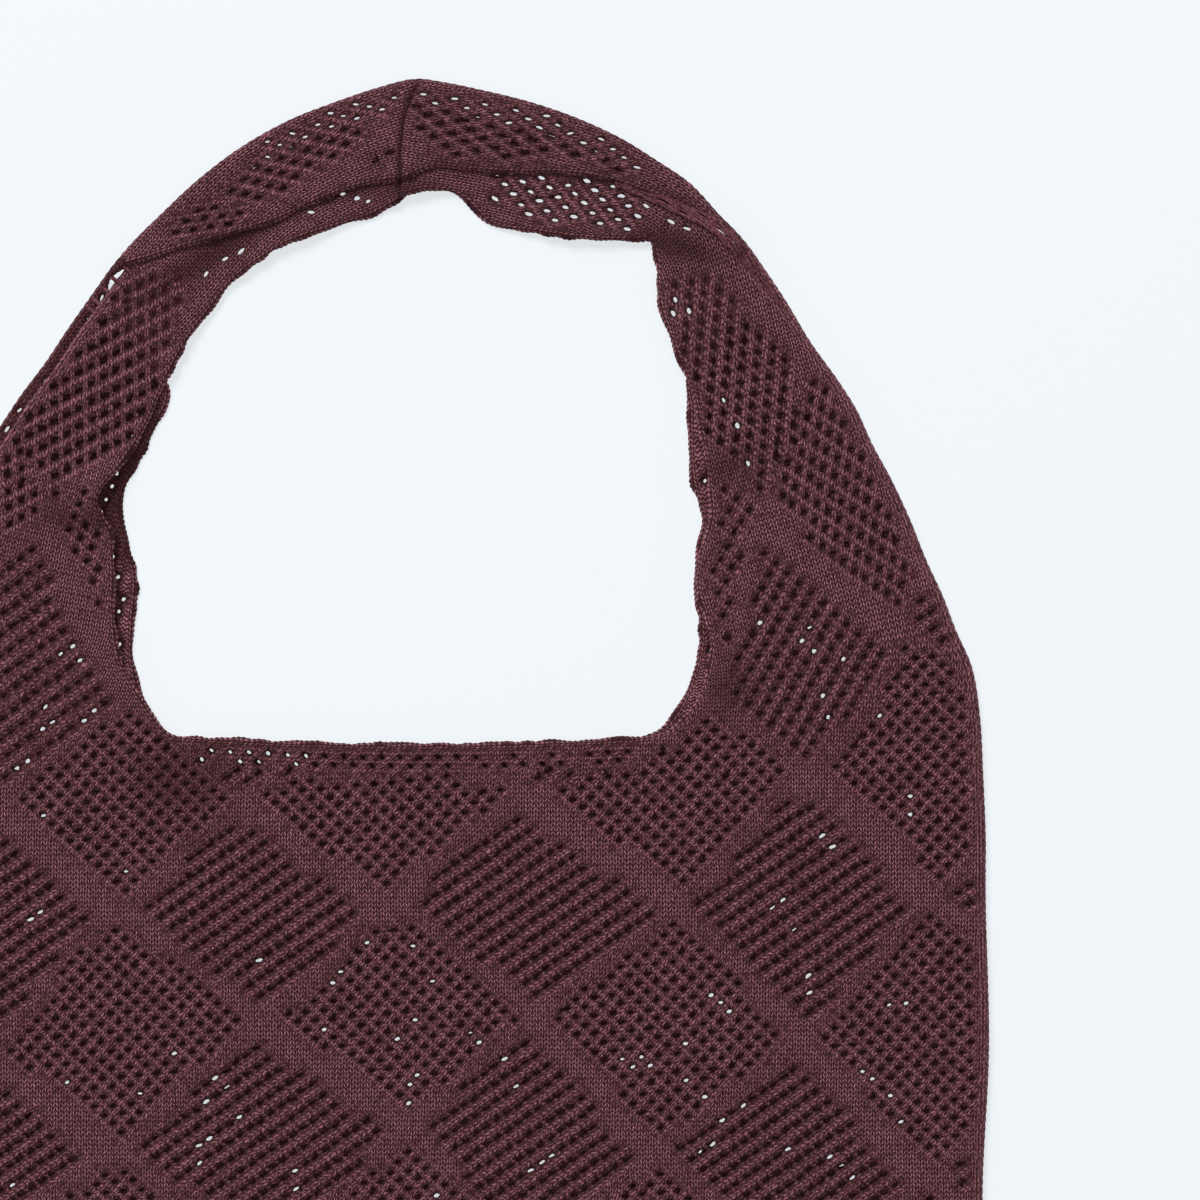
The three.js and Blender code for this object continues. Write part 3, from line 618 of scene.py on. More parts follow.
def panel_arrays(panel, eyes):
    """The panel as one closed sheet. In plan it is Delaunay triangles between the outlines and the rims
    of the eyelets, once for its upper face and once for its lower. Outlines and rims lie half way up,
    and round the eyelets each face falls away in a valley."""
    rng = np.random.default_rng(15 if panel == "front" else 16)
    outer_line, inner_line = outlines(panel)
    outer, outer_run = evenly(outer_line, OUTER_STEP)
    inner, inner_run = evenly(inner_line, INNER_STEP)
    # Knots of uneven size make the free edge ragged, and the linked edge is scalloped.
    seed = 0.0 if panel == "front" else 1.9
    knots = 0.75 + 0.5 * np.sin(inner_run / 7.7) * np.sin(inner_run / 3.1)
    ragged = 0.42 * knots * np.abs(np.sin(math.pi * inner_run / KNOT_PITCH))
    ragged += 0.34 * np.sin(inner_run / 1.9 + 2.2 * np.sin(inner_run / 9)) * np.sin(inner_run / 13 + seed)
    ragged += 0.4 * np.sin(inner_run / 4.4 + 1.7 * np.sin(inner_run / 21 + seed))
    inner = inner - leftwards(inner) * ragged[:, None]
    outer = outer + leftwards(outer) * (0.26 * np.abs(np.sin(math.pi * outer_run / LINK_PITCH)))[:, None]
    fine_outer, fine_outer_run = evenly(outer_line, FINE_STEP)
    fine_inner, fine_inner_run = evenly(inner_line, FINE_STEP)

    count, clear = len(eyes), int(np.sum(eyes[:, 12] == 0))
    tilt = (eyes[:, 4] + rng.normal(0, 0.16, count))[:, None]
    angle = (np.arange(RIM_POINTS) / RIM_POINTS * 2 * math.pi)[None] + rng.normal(0, 0.13, (count, RIM_POINTS))

    def ring(spare, shift):
        """An eyelet's oval, spare wider than the slit, as points round each middle."""
        a = angle + shift
        x, y = (eyes[:, 2:3] + spare) * np.cos(a), (eyes[:, 3:4] + spare) * np.sin(a)
        turned = np.stack([x * np.cos(tilt) - y * np.sin(tilt), x * np.sin(tilt) + y * np.cos(tilt)], 2)
        return (eyes[:, None, :2] + turned).reshape(-1, 2)

    all_rims, lips = ring(0, 0), ring(LIP_OUT, math.pi / RIM_POINTS)
    rims, blind_rims = all_rims[:clear * RIM_POINTS], all_rims[clear * RIM_POINTS:]
    shared = np.vstack([outer, inner, rims])
    base = len(outer) + len(inner)
    ring_index = base + np.arange(clear * RIM_POINTS).reshape(clear, RIM_POINTS)
    loops = [np.arange(len(outer)), len(outer) + np.arange(len(inner))]
    # Each shared point belongs to an eyelet by its number, or to one of the two edges.
    edges = np.vstack([np.stack([k, np.roll(k, -1)], 1) for k in loops]
                      + [np.stack([ring_index.ravel(), np.roll(ring_index, -1, axis=1).ravel()], 1)])
    on_outer, on_inner, unshared = -1, -2, -9
    owner = np.concatenate([np.full(len(outer), on_outer), np.full(len(inner), on_inner),
                            np.repeat(np.arange(clear), RIM_POINTS)])
    near_eye, near_lip = nearest_spot(eyes, EYELET_CLEAR) >= 0, nearest_spot(lips, POINT_CLEAR) >= 0
    near_rim = nearest_spot(np.vstack([all_rims, eyes[:, :2]]), POINT_CLEAR) >= 0
    eyelet_at = nearest_spot(eyes, LACE_REACH)

    def inside(p, spare):
        """Those of the points that lie in the panel, at least spare from its edges."""
        p = p[in_cloth(p, outer_line, inner_line)]
        return p[(nearest(p, fine_outer) > spare) & (nearest(p, fine_inner) > spare)]

    def spots(step, spare):
        """Staggered rows of points step apart inside the panel, clear of eyelets and edges."""
        x, y = np.meshgrid(np.arange(-215, 215, step), np.arange(-304, 304, step * 0.866))
        x[1::2] += step / 2
        p = np.stack([x.ravel(), y.ravel()], 1)
        p += rng.uniform(-0.12, 0.12, p.shape) * step
        return inside(p[~near_eye[cell_of(p[:, 0], p[:, 1])]], spare)

    def shoulders(depth):
        """A row of points just inside both edges."""
        rows = [line + leftwards(line) * depth * side
                for line, side in ((evenly(outer_line, 2.0)[0], -1), (evenly(inner_line, 1.5)[0], 1))]
        return inside(np.vstack(rows), depth * 0.8)

    def between(*shares):
        """Points part of the way to the next eyelets, where the yarn stands up in a ridge."""
        laced = eyes[eyes[:, 9] >= 0]
        place, step_a, step_b = laced[:, 10:12], laced[:, 5:7], laced[:, 7:9]
        return inside(np.vstack([place + step_a * i + step_b * j for i, j in shares]), 1.7)

    climb = np.arange(SEAM_FOOT + 1, 303, 1.5)
    seam_rows = inside(np.vstack([np.stack([d - seam_distance(0, climb), climb], 1)
                                  for d in (-3.4, -1.9, -0.8, 0, 0.8, 1.9, 3.4)]), 1.6)

    def thinned(groups):
        """All groups' points, dropping a later point that falls in the same small square as another."""
        p = np.vstack(groups)
        cell = np.floor(p / FREE_GAP).astype(np.int64)
        first = np.sort(np.unique(cell[:, 0] * 100000 + cell[:, 1], return_index=True)[1])
        return p[first]

    past = np.repeat(past_neck(eyes[:, 0], eyes[:, 1]), RIM_POINTS)
    fine, ridge = shoulders(1.0), (0.5, 0.5)
    plans = {
        "front upper": (np.vstack([lips, blind_rims]),
                        [fine, seam_rows, between(ridge, (0.5, 0)), spots(3.1, 1.9)]),
        "front lower": (lips[:0], [shoulders(1.2), spots(6.5, 2.6)]),
        "back upper": (lips[past > -8], [fine, seam_rows, between(ridge), spots(4.2, 2.4)]),
        "back lower": (lips[past < 0], [fine, between(ridge), spots(3.6, 2.2)]),
    }

    def joined(rings, free):
        """The triangles of one face, without those in the eyelets or past the edges."""
        points = np.vstack([shared, rings, free])
        tri = triangles(points, edges)
        who = np.concatenate([owner, np.full(len(points) - len(shared), unshared)])[tri]
        hole = (who[:, 0] == who[:, 1]) & (who[:, 1] == who[:, 2]) & (who[:, 0] >= 0)
        tri, who = tri[~hole], who[~hole]
        edge_only = np.all((who == on_outer) | (who == on_inner), axis=1)
        kept = ~edge_only
        kept[edge_only] = in_cloth(points[tri[edge_only]].mean(1), outer, inner)
        return tri[kept]

    def bridges(tri):
        """Numbers for the sides of triangles that run between shared points and are no edge or rim."""
        sides = np.sort(np.vstack([tri[:, [0, 1]], tri[:, [1, 2]], tri[:, [2, 0]]]), axis=1)
        own = np.sort(edges, axis=1)
        number = lambda pair: pair[:, 0] * len(shared) + pair[:, 1]
        return np.setdiff1d(number(sides[sides[:, 1] < len(shared)]), number(own))

    faces, extra = {}, {}
    for face in ("upper", "lower"):
        rings, groups = plans[f"{panel} {face}"]
        free = thinned(groups)
        spot = cell_of(free[:, 0], free[:, 1])
        free = free[~(near_rim[spot] | (near_lip[spot] if len(rings) else False))]
        faces[face] = joined(rings, free)
        if face == "lower":
            # A side that both faces have would pinch them together, so the lower face's is split.
            both = np.intersect1d(bridges(faces["upper"]), bridges(faces["lower"]))
            free = np.vstack([free, (shared[both // len(shared)] + shared[both % len(shared)]) / 2])
            faces[face] = joined(rings, free)
        extra[face] = (np.vstack([rings, free]), np.arange(len(rings) + len(free)) < len(rings))

    upper_xy, upper_lip = extra["upper"]
    lower_xy, lower_lip = extra["lower"]
    upper_sunk = upper_lip.copy()
    upper_sunk[:len(upper_lip) if panel == "back" else len(lips)] = False
    upper_lip &= ~upper_sunk
    xy = np.vstack([shared, upper_xy, lower_xy])
    first_upper, first_lower = len(shared), len(shared) + len(upper_xy)
    lower_faces = faces["lower"][:, ::-1].copy()
    lower_faces[lower_faces >= first_upper] += len(upper_xy)
    tri = np.vstack([faces["upper"], lower_faces])

    # Heights: the underside, the cloth with its rolled edge, the seam's groove, the lace and the hollows.
    x, y = xy[:, 0], xy[:, 1]
    past = past_neck(x, y)
    layers = np.minimum(1, layers_below(panel, past))
    (inner_gap, inner_at), (outer_gap, outer_at) = nearest(xy, fine_inner, True), nearest(xy, fine_outer, True)
    which = eyelet_at[cell_of(x, y)]
    laced = (which >= 0) & (eyes[which, 9] >= 0)
    mask = np.where(laced, 1 - smooth((lengths(xy - eyes[which, :2]) - 3.2) / 1.4), 0)
    ridged = np.where(laced, eyes[which, 9], 0)
    valley = np.where(laced, lace_valley(lace_steps(xy, eyes, which), ridged), 0)
    share = np.concatenate([np.full(len(shared), 0.5), np.where(upper_sunk, 0.45, 1.0), np.zeros(len(lower_xy))])
    above, below = share > 0.6, share < 0.4
    knit_face = ~below if panel == "front" else above & (past > -3) | below & (past <= -3)

    rolled = EDGE_ROLL * np.exp(-(((inner_gap - EDGE_ROUND) / EDGE_ROLL_WIDTH) ** 2)) * layers
    high = CLOTH_THICK + rolled * smooth(inner_gap / EDGE_ROUND)
    relief = mask * (RIDGE_RISE - (RIDGE_RISE + VALLEY_DROP) * valley) * np.where(panel == "front", 1.0, 0.5)
    off_seam = np.abs(seam_distance(x, y))
    groove = (SWELL_RISE * np.exp(-((off_seam - SWELL_AT) / SWELL_WIDTH) ** 2)
              - GROOVE_DEPTH * np.exp(-(off_seam / GROOVE_WIDTH) ** 2))
    groove = np.where((y > SEAM_FOOT - 1) & ~below, groove, 0)
    z = underside(panel, x, y) + share * high + groove * np.where(above, 1, 0.5)
    z += np.where(knit_face & above, relief, 0)
    z += np.where(knit_face & below, mask * 0.3 * valley, 0)

    # What the material reads: painted shade, the knit side, the lace and the distances from both edges.
    lip = np.concatenate([np.zeros(first_upper, bool), upper_lip, lower_lip])
    # Painted shade at the edges and at the eyelets' rims and lips, where little light reaches.
    depth_shade = np.where(lip, LIP_SHADE, 0.0)
    depth_shade[:base], depth_shade[base:first_upper] = EDGE_SHADE, RIM_SHADE
    # Painted shade at the bottoms of blind eyelets.
    depth_shade[first_upper:first_lower][upper_sunk] = BLIND_SHADE
    # Painted shade in the seam's groove.
    painted_groove_shade = np.where((y > SEAM_FOOT + 1) & ~below, np.exp(-(off_seam / 0.9) ** 2), 0)
    knit = np.where(knit_face, 1.0, 0.0)
    knit[:first_upper] = 0.5 if panel == "back" else 1.0
    hollow = np.where(below, 0, mounds(HOLLOWS, panel, x, y))
    z -= np.minimum(hollow * 0.3, 0.5) * np.where(above, 1, 0.5)
    # Painted shade on the back panel's strip along the left arm's rim.
    left_strip_shade = (panel == "back") & ~below & (x < -95) & (y > 120) & (past < 4)
    shade = np.maximum(np.where(left_strip_shade, 0.72, 0.0), np.minimum(hollow * 0.42, 0.75))
    # The front panel's underside, inside the bag, gets painted shade.
    if panel == "front":
        shade = np.where(below, 0.3, shade)
    marks = np.stack([depth_shade, knit, painted_groove_shade, shade], 1)
    hem_band = np.where((np.abs(x) < 86) & (y > 44) & (inner_gap < 6), 1 - smooth((inner_gap - 3.2) / 1.2), 0)
    linked = 1 - smooth((past + 6) / 6)
    lace = np.stack([mask, ridged, hem_band, linked], 1)
    edge = np.stack([outer_gap, fine_outer_run[outer_at] / LINK_PITCH, inner_gap,
                     fine_inner_run[inner_at] / KNOT_PITCH], 1)

    middle = xy[tri].mean(1)
    on_right = np.where(middle[:, 1] > 100, seam_distance(middle[:, 0], middle[:, 1]) > 0, middle[:, 0] > 0)

    def counted(table):
        """Stitch counts of one arm's table, with the rims' drawn towards their eyelets' middles."""
        uv = stitch_count(x, y, table)
        centre = np.repeat(stitch_count(eyes[:clear, 0], eyes[:clear, 1], table), RIM_POINTS, axis=0)
        uv[base:first_upper] = centre + (uv[base:first_upper] - centre) * (0.35, 0.8)
        return uv[tri]

    stitches = np.where(on_right[:, None, None], counted(RIGHT_SPINE), counted(LEFT_SPINE))
    mine = eyelet_at[cell_of(middle[:, 0], middle[:, 1])]
    steps = lace_steps(xy[tri].reshape(-1, 2), eyes, np.repeat(mine, 3))
    maps, colours = {"stitches": stitches, "steps": steps}, {"marks": marks, "lace": lace, "edge": edge}
    return np.column_stack([xy, z]), tri, maps, colours


def placed(points):
    """Millimetres of the charts to metres in the bag's own frame, centred as the solids are."""
    rim = through(RIBS[:, [0, 1, 6]], 2)[:, :2]
    middle = (np.array(cad_box[0][:2]) + cad_box[1][:2]) / 2 - (rim.min(0) + rim.max(0)) / 2000
    return points * 0.001 + np.array([*middle, 0.0])


def new_mesh(name, points, faces, maps={}, colours={}):
    """A mesh object from whole arrays: points in metres, faces, maps a face corner and colours a point."""
    mesh = bpy.data.meshes.new(name)
    mesh.from_pydata(points.tolist(), [], faces.tolist())
    mesh.polygons.foreach_set("use_smooth", np.ones(len(faces), bool))
    for key, values in maps.items():
        mesh.uv_layers.new(name=key).data.foreach_set("uv", values.reshape(-1).astype(np.float32))
    for key, values in colours.items():
        layer = mesh.attributes.new(key, "FLOAT_COLOR", "POINT")
        layer.data.foreach_set("color", values.astype(np.float32).reshape(-1))
    mesh.update()
    piece = bpy.data.objects.new(name, mesh)
    bpy.context.scene.collection.objects.link(piece)
    return piece


def srgb(r, g, b):
    """A colour given in 0 to 255 as the shader's linear values."""
    c = np.array([r, g, b]) / 255
    return (*np.where(c < 0.04045, c / 12.92, ((c + 0.055) / 1.055) ** 2.4), 1.0)


class Wire:
    """A value on its way through a material. Its sums, products and powers are Math nodes."""

    def __init__(self, nodes, socket):
        self.nodes, self.socket = nodes, socket

    def math(self, operation, *others, clamp=False):
        """A Math node of this wire and others."""
        return self.nodes.math(operation, self, *others, clamp=clamp)

    __add__ = lambda self, other: self.math("ADD", other)
    __sub__ = lambda self, other: self.math("SUBTRACT", other)
    __rsub__ = lambda self, other: self.nodes.math("SUBTRACT", other, self)
    __mul__ = lambda self, other: self.math("MULTIPLY", other)
    __pow__ = lambda self, other: self.math("POWER", other)
    __abs__ = lambda self: self.math("ABSOLUTE")

    def scaled(self, by, plus):
        """This wire times one value plus another."""
        return self.math("MULTIPLY_ADD", by, plus)


class Nodes:
    """The nodes of one material, each added with its settings and its inputs."""

    def __init__(self, name):
        self.material = bpy.data.materials.new(name)
        self.material.use_nodes = True
        self.tree = self.material.node_tree
        self.shader = self.tree.nodes["Principled BSDF"]

    def feed(self, node, inputs):
        """Sets a node's inputs to numbers or colours, or links wires to them."""
        for key, value in inputs.items():
            if isinstance(value, Wire):
                self.tree.links.new(value.socket, node.inputs[key])
            else:
                node.inputs[key].default_value = value

    def add(self, kind, inputs, *outputs, **settings):
        """A new node's outputs as wires."""
        node = self.tree.nodes.new(kind)
        for key, value in settings.items():
            setattr(node, key, value)
        self.feed(node, inputs)
        return [Wire(self, node.outputs[key]) for key in outputs]

    def math(self, operation, *values, clamp=False):
        """The operation's result."""
        return self.add("ShaderNodeMath", dict(enumerate(values)), 0, operation=operation, use_clamp=clamp)[0]

    def mix(self, share, a, b):
        """From a number a to b as the share goes from nought to one."""
        return self.add("ShaderNodeMix", {0: share, 2: a, 3: b}, 0, data_type="FLOAT")[0]

    def colour_mix(self, share, a, b):
        """The same for colours."""
        return self.add("ShaderNodeMix", {0: share, 6: a, 7: b}, 2, data_type="RGBA")[0]

    def place(self):
        """The place on the piece, in metres."""
        return self.add("ShaderNodeTexCoord", {}, "Object")[0]

    def map(self, name):
        """The two counts of one of the piece's maps."""
        uv, = self.add("ShaderNodeUVMap", {}, "UV", uv_map=name)
        return self.add("ShaderNodeSeparateXYZ", {0: uv}, 0, 1)

    def attribute(self, name):
        """The four numbers that a point of the piece carries under a name."""
        colour, fourth = self.add("ShaderNodeAttribute", {}, "Color", "Alpha", attribute_name=name)
        return self.add("ShaderNodeSeparateColor", {0: colour}, 0, 1, 2) + [fourth]

    def noise(self, place, scale, detail, rough=0.5):
        """Cloudy noise of a scale, counted in a metre."""
        inputs = {"Vector": place, "Scale": scale, "Detail": detail, "Roughness": rough}
        return self.add("ShaderNodeTexNoise", inputs, "Fac")[0]

    def yarn(self, colour, height, strength, distance):
        """Matt yarn: its colour, a little sheen, and a bump of the given height."""
        relief = {"Strength": strength, "Distance": distance, "Height": height}
        bump, = self.add("ShaderNodeBump", relief, "Normal")
        self.feed(self.shader, {"Base Color": colour, "Roughness": 0.88, "Specular IOR Level": 0.12,
                                "Sheen Weight": 0.05, "Sheen Roughness": 0.45, "Normal": bump})
        return self.material


def rounded(share, power):
    """One in the middle of nought to one, and nought at both ends."""
    return 1.0 - abs(share.scaled(2.0, -1.0)) ** power


def vee(u, v, slant):
    """Knitted stitches: u counts them across and v up. The phase rises with the distance from the
    stitch's middle, and each leg is round across its phase and across its half of the stitch."""
    half = abs(u.math("FRACT") - 0.5) * 2.0
    phase = (v - half * slant).math("FRACT")
    return rounded(phase, 2.2).math("MULTIPLY", rounded(half, 2.6), clamp=True)


def knitted(name, gap_shade_colour, leg_colour, shade_colour):
    """Knitted yarn. Stitches of two legs follow the fabric, with purl rows on its inner side. In the
    lace they bend round the eyelets, turn along the lattice like braids and fall into valleys
    between the ridges; painted shade darkens the valleys and painted light brightens the ridges.
    A chain lies along a free edge and long linked strands along the rim. Fibres speckle all of it.
    Painted shade also fills the gaps between the legs and darkens edges, rims, blind eyelets, the
    seam's groove and hollows."""
    wobble, braided = 0.34, 0.66
    chain_width, chain_reach, strand_width, strand_reach = 0.52, 2.6, 1.35, 3.2
    n = Nodes(name)
    place = n.place()
    across, up = n.map("stitches")
    step_i, step_j = n.map("steps")
    depth_shade, knit_side, groove, shade = n.attribute("marks")
    laced, ridged, hem, linked = n.attribute("lace")
    rim_gap, rim_run, free_gap, free_run = n.attribute("edge")

    turn_i, turn_j = step_i * TURN, step_j * TURN
    row, column = (turn.math("COSINE").scaled(0.5, 0.5) for turn in (turn_i, turn_j))
    valley = row * n.mix(ridged, column, column.scaled(0.5, 0.5)) * laced

    loose_a, loose_b = n.noise(place, 430, 1) - 0.5, n.noise(place, 520, 1) - 0.5
    u = across + loose_a * wobble + turn_j.math("SINE") * laced * 0.16
    v = up + loose_b * (wobble * 1.4) + turn_i.math("SINE") * laced * 0.2
    braid = vee(step_i.scaled(2.0, 0.5) + loose_a * (wobble * 2.0), step_j * 2.0 + loose_b * (wobble * 2.4), 0.7)
    leg = n.mix(laced * braided, vee(u, v, 0.95), braid)
    wave = (u * TURN).math("COSINE")
    bump_row = rounded(wave.scaled(0.22, v).math("FRACT"), 2.0)
    purl = bump_row.math("MULTIPLY", abs(wave).scaled(0.35, 0.65), clamp=True)
    yarn = n.mix(knit_side, purl, leg)

    on_chain = n.math("SUBTRACT", chain_reach, free_gap, clamp=True)
    yarn = n.mix(on_chain, yarn, vee(free_gap * chain_width, free_run, 0.7))
    swing = (rim_run * TURN).math("SINE")
    strand = rim_gap.scaled(TURN / strand_width, swing * 0.9).math("COSINE").scaled(-0.5, 0.5) ** 0.8
    on_rim = n.math("SUBTRACT", strand_reach, rim_gap, clamp=True) * (linked * 0.45)
    yarn = n.mix(on_rim, yarn, strand)

    fibre, patchy = n.noise(place, 1500, 2, 0.6), n.noise(place, 140, 2)
    cell, = n.add("ShaderNodeCombineXYZ", {0: (u * 2.0).math("FLOOR"), 1: v.math("FLOOR")}, 0)
    own, = n.add("ShaderNodeTexWhiteNoise", {"Vector": cell}, "Value", noise_dimensions="2D")
    speckle = (fibre - 0.5).scaled(2.6, 1.05)
    speckle = (own - 0.5).scaled(0.85, speckle)
    speckle = (patchy - 0.5).scaled(0.5, speckle)
    # Painted shade darkens the lace's valleys and painted light brightens its ridges; the hem's band is darker
    # too.
    lit = hem.scaled(-0.28, (valley ** 0.5).scaled(-1.1, laced.scaled(0.34, 1.0)))
    share = (yarn ** 2.1).math("MULTIPLY_ADD", speckle * lit, 0.04, clamp=True)
    # Painted shade: edges, rims, lips, blind eyelets, the seam's groove, hollows and shaded strips go towards the
    # shade colour.
    painted_shade = (depth_shade * 0.95).math("ADD", groove, clamp=True).math("MAXIMUM", shade)
    colour = n.colour_mix(painted_shade, n.colour_mix(share, gap_shade_colour, leg_colour), shade_colour)
    height = valley.scaled(-0.7, fibre.scaled(0.35, yarn))
    # The faint glow is painted light, standing for light that scatters inside the fibres; it lifts the darkest
    # places, such as the eyelets' cores.
    n.feed(n.shader, {"Sheen Tint": (1.0, 0.72, 0.76, 1.0), "Emission Color": (1.0, 0.27, 0.32, 1.0),
                      "Emission Strength": 0.008})
    return n.yarn(colour, height, 1.0, 0.0009)


# The yarn's colours: painted shade in the gaps between the legs, the legs, and the painted shade of rims, edges
# and hollows.
KNIT_COLOURS = srgb(40, 11, 15), srgb(207, 137, 149), srgb(56, 22, 27)

front_eyes = kept_eyelets("front")
panel_eyes = {"front": front_eyes, "back": kept_eyelets("back", front_eyes)}
for panel, eyes in panel_eyes.items():
    points, faces, maps, colours = panel_arrays(panel, eyes)
    piece = new_mesh(f"{panel}_knit", placed(points), faces, maps, colours)
    piece.data.materials.append(knitted(f"{panel}_knit_maroon", *KNIT_COLOURS))
    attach(piece, "root")
    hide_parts(f"{panel}_panel")


# ---------------------------------------------------------------- the linking yarn at the necks
# Where the strap turns over, the seam's own yarn shows: a few long strands lie over the right neck, and
# short stitches cross the open slit at the left one. It is the panels' yarn, worked through both edges.

# The strands' common way, how far each lies beside it, and the yarn's radius and sides.
RIGHT_STRANDS = np.array([
    (72, 261.5), (84, 257.5), (95, 253.2), (103, 249.5), (110.5, 245), (117, 239.2), (121.8, 233.2),
    (126.5, 226.5), (132, 218.5), (138, 209)])
STRAND_SETS, STRAND_RADIUS, STRAND_SIDES, PATH_SAMPLES = (-2.1, -0.9, 0.4, 1.6), 0.78, 8, 12
STRAND_TWIST, STITCH_TWIST, PLY_LENGTH = 0.8, 2.2, 8.0
# The middles of the left neck's stitches, the way that they lie and their length.
LEFT_STITCHES = [
    (-121, 214.6), (-118.7, 217.4), (-115.1, 221.5), (-111.5, 225.3), (-107.6, 229.4), (-105.4, 232.2)]
LEFT_STITCH_WAY, LEFT_STITCH_LENGTH = (0.78, -0.63), 5.2


def top_height(x, y):
    """Height of the upper of the two panels at a point."""
    return np.maximum(underside("front", x, y), underside("back", x, y)) + CLOTH_THICK


def tube(path, radius, twist):
    """A round yarn along a path of points: at each, a ring square to the way, its radius given, and a
    cap at each end. The yarn's plies show as a slight flattening that turns on its way."""
    along = np.gradient(path, axis=0)
    along /= lengths(along)[:, None]
    side = np.cross(along, (0.0, 0.0, 1.0))
    side /= lengths(side)[:, None]
    up = np.cross(side, along)
    count, k = len(path), np.arange(STRAND_SIDES)
    turn = k / STRAND_SIDES * 2 * math.pi
    run = distance_run(path)
    flattened = radius[:, None] * (1 + 0.14 * np.cos(2 * turn[None] + run[:, None] * twist))
    rings = path[:, None] + flattened[..., None] * (np.cos(turn)[None, :, None] * side[:, None]
                                                    + np.sin(turn)[None, :, None] * up[:, None])
    first = np.arange(count - 1)[:, None] * STRAND_SIDES
    near, beside = (first + k).ravel(), (first + (k + 1) % STRAND_SIDES).ravel()
    a, b, c, d = near, beside, beside + STRAND_SIDES, near + STRAND_SIDES
    skin = np.vstack([np.stack([a, c, b], 1), np.stack([a, d, c], 1)])
    fan = np.stack([np.zeros_like(k[1:-1]), k[1:-1], k[2:]], 1)
    far_fan = fan[:, [0, 2, 1]] + (count - 1) * STRAND_SIDES
    uv = np.stack([np.tile(turn / (2 * math.pi), count), np.repeat(run / PLY_LENGTH, STRAND_SIDES)], 1)
    return rings.reshape(-1, 3), np.vstack([skin, fan, far_fan]), uv


def gathered(parts):
    """Several tubes as one set of points, faces and map."""
    first = np.cumsum([0] + [len(p) for p, _, _ in parts])[:-1]
    faces = np.vstack([f + k for (_, f, _), k in zip(parts, first)])
    return np.vstack([p for p, _, _ in parts]), faces, np.vstack([uv for _, _, uv in parts])[faces]


def spun(name, dark_colour, light_colour):
    """Spun yarn: plies show as slanting dark lines on its round, with a speckle of fibres."""
    n = Nodes(name)
    around, along = n.map("stitches")
    ply = ((around * 2.0 + along) * TURN).math("COSINE")
    speckle = n.noise(n.place(), 1300, 2, 0.6).scaled(2.6, -0.85)
    share = ply.math("MULTIPLY_ADD", 0.14, speckle, clamp=True)
    return n.yarn(n.colour_mix(share, dark_colour, light_colour), ply, 0.8, 0.0004)


common_way = through(np.column_stack([RIGHT_STRANDS, np.zeros(len(RIGHT_STRANDS))]), PATH_SAMPLES)
common_way = common_way[:PATH_SAMPLES * (len(RIGHT_STRANDS) - 1), :2]
yarns = []
for k, offset in enumerate(STRAND_SETS):
    t = np.linspace(0, 1, len(common_way))
    spread = offset * (0.55 + 0.45 * np.sin(math.pi * t)) + 0.25 * np.sin(t * 19 + k * 2)
    xy = (common_way + leftwards(common_way) * spread[:, None])[2:-2]
    swell = np.sin(math.pi * t[2:-2])
    z = top_height(xy[:, 0], xy[:, 1]) - 0.25 - 0.5 * (1 - swell)
    yarns.append(tube(np.column_stack([xy, z]), STRAND_RADIUS * (0.3 + 0.7 * swell ** 0.6), STRAND_TWIST))
for middle in LEFT_STITCHES:
    t = np.linspace(-0.5, 0.5, 9)
    xy = np.array(middle) + t[:, None] * np.array(LEFT_STITCH_WAY) * LEFT_STITCH_LENGTH
    low, high = (underside(panel, xy[:, 0], xy[:, 1]) + 0.9 for panel in ("back", "front"))
    z = low + (high - low) * (t + 0.5) + 0.5 * np.cos(math.pi * t)
    yarns.append(tube(np.column_stack([xy, z]), 0.8 + 0.25 * np.abs(t), STITCH_TWIST))
points, faces, uv = gathered(yarns)
linking = new_mesh("linking_yarn", placed(points), faces, {"stitches": uv})
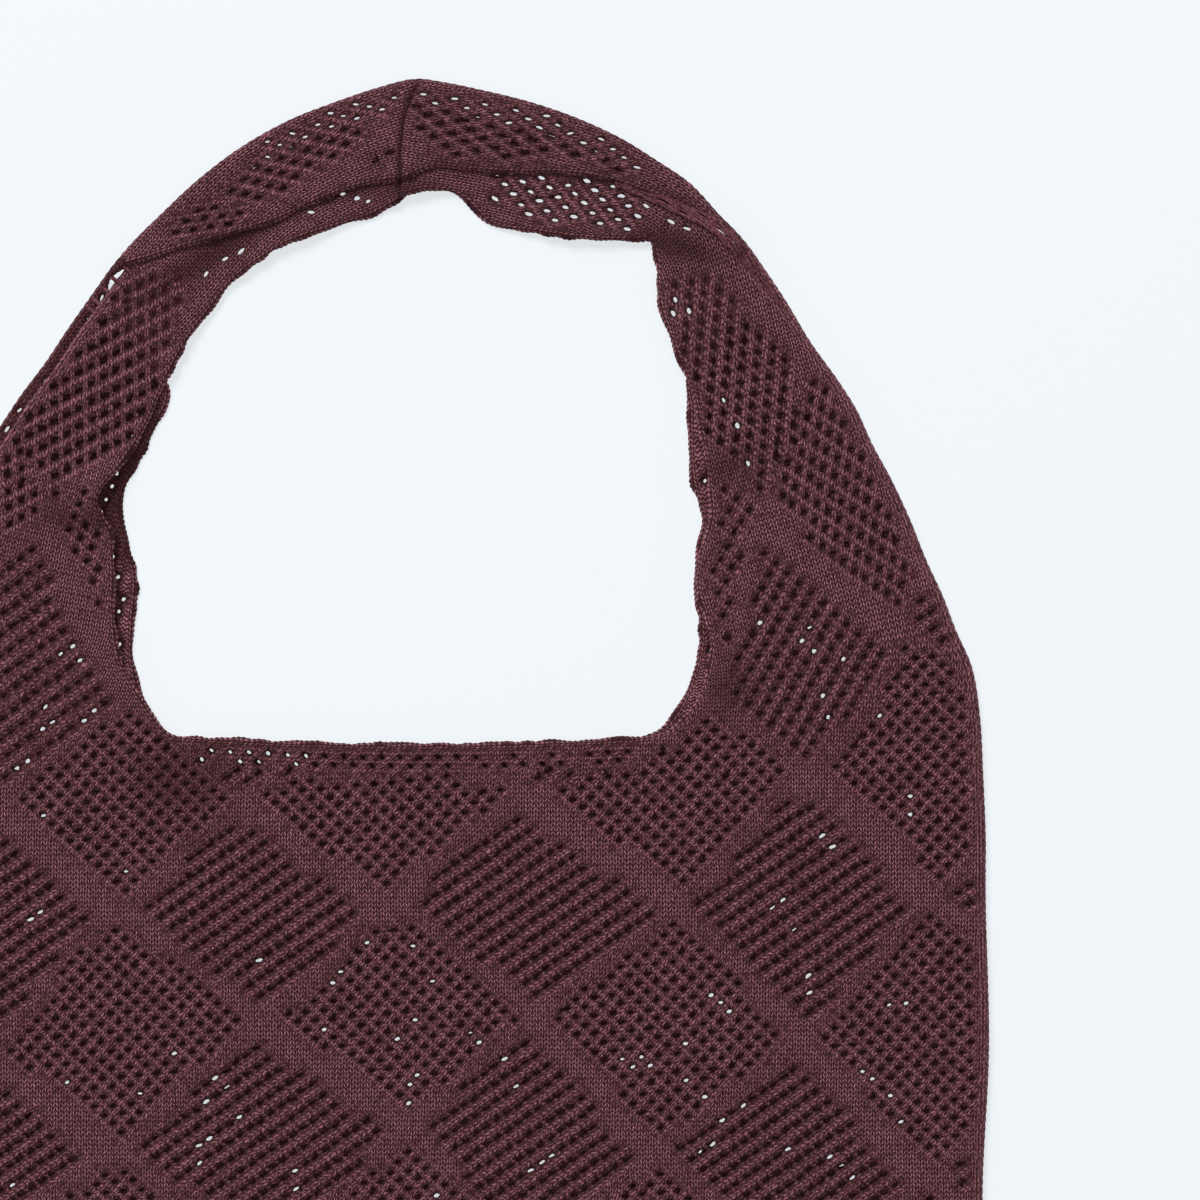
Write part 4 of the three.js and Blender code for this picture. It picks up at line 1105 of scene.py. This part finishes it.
linking.data.materials.append(spun("linking_yarn_maroon", srgb(50, 20, 25), srgb(168, 104, 115)))
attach(linking, "root")


# ---------------------------------------------------------------- floor, light and camera
# A pale paper ground, a soft window light from the upper left and even fill, and a camera far above,
# looking straight down with the body's lower part outside its frame.

# The view's middle is in the charts' millimetres, all else in metres.
FLOOR_SIZE = 3.0
VIEW_MIDDLE, VIEW_WIDTH, CAMERA_HEIGHT = (67.34, 107.3, 0.0), 0.444, 3.0
LAMP_PLACE, LAMP_AIM = (-2.2, 3.3, 3.9), (0.067, 0.107, 0.0)

corners = FLOOR_SIZE * np.array([(-1, -1, 0), (1, -1, 0), (1, 1, 0), (-1, 1, 0)])
ground = new_mesh("ground", corners, np.array([(0, 1, 2, 3)]))
paper = Nodes("pale_paper")
paper.feed(paper.shader, {"Base Color": srgb(158, 162, 166), "Roughness": 0.9,
                          "Emission Color": srgb(243, 248, 251), "Emission Strength": 0.72})
ground.data.materials.append(paper.material)

scene = bpy.context.scene
scene.world = bpy.data.worlds.new("studio")
scene.world.use_nodes = True
background = scene.world.node_tree.nodes["Background"]
background.inputs["Color"].default_value = (0.97, 0.985, 1.0, 1.0)
background.inputs["Strength"].default_value = 0.3

lamp = bpy.data.lights.new("window", "AREA")
lamp.shape = "DISK"
lamp.size = 2.6
lamp.energy = 175
lamp_object = bpy.data.objects.new("window", lamp)
lamp_object.location = LAMP_PLACE
scene.collection.objects.link(lamp_object)
aim = np.array(LAMP_AIM) - np.array(lamp_object.location)
lean, heading = math.acos(-aim[2] / lengths(aim)), math.atan2(aim[1], aim[0]) - math.pi / 2
lamp_object.rotation_euler = (lean, 0.0, heading)

camera = bpy.data.cameras.new("camera")
camera.lens = camera.sensor_width * CAMERA_HEIGHT / VIEW_WIDTH
camera.clip_end = 20
camera_object = bpy.data.objects.new("camera", camera)
view_middle = placed(np.array(VIEW_MIDDLE))
camera_object.location = (float(view_middle[0]), float(view_middle[1]), CAMERA_HEIGHT + 0.003)
scene.collection.objects.link(camera_object)
scene.camera = camera_object
scene.view_settings.view_transform = "Standard"
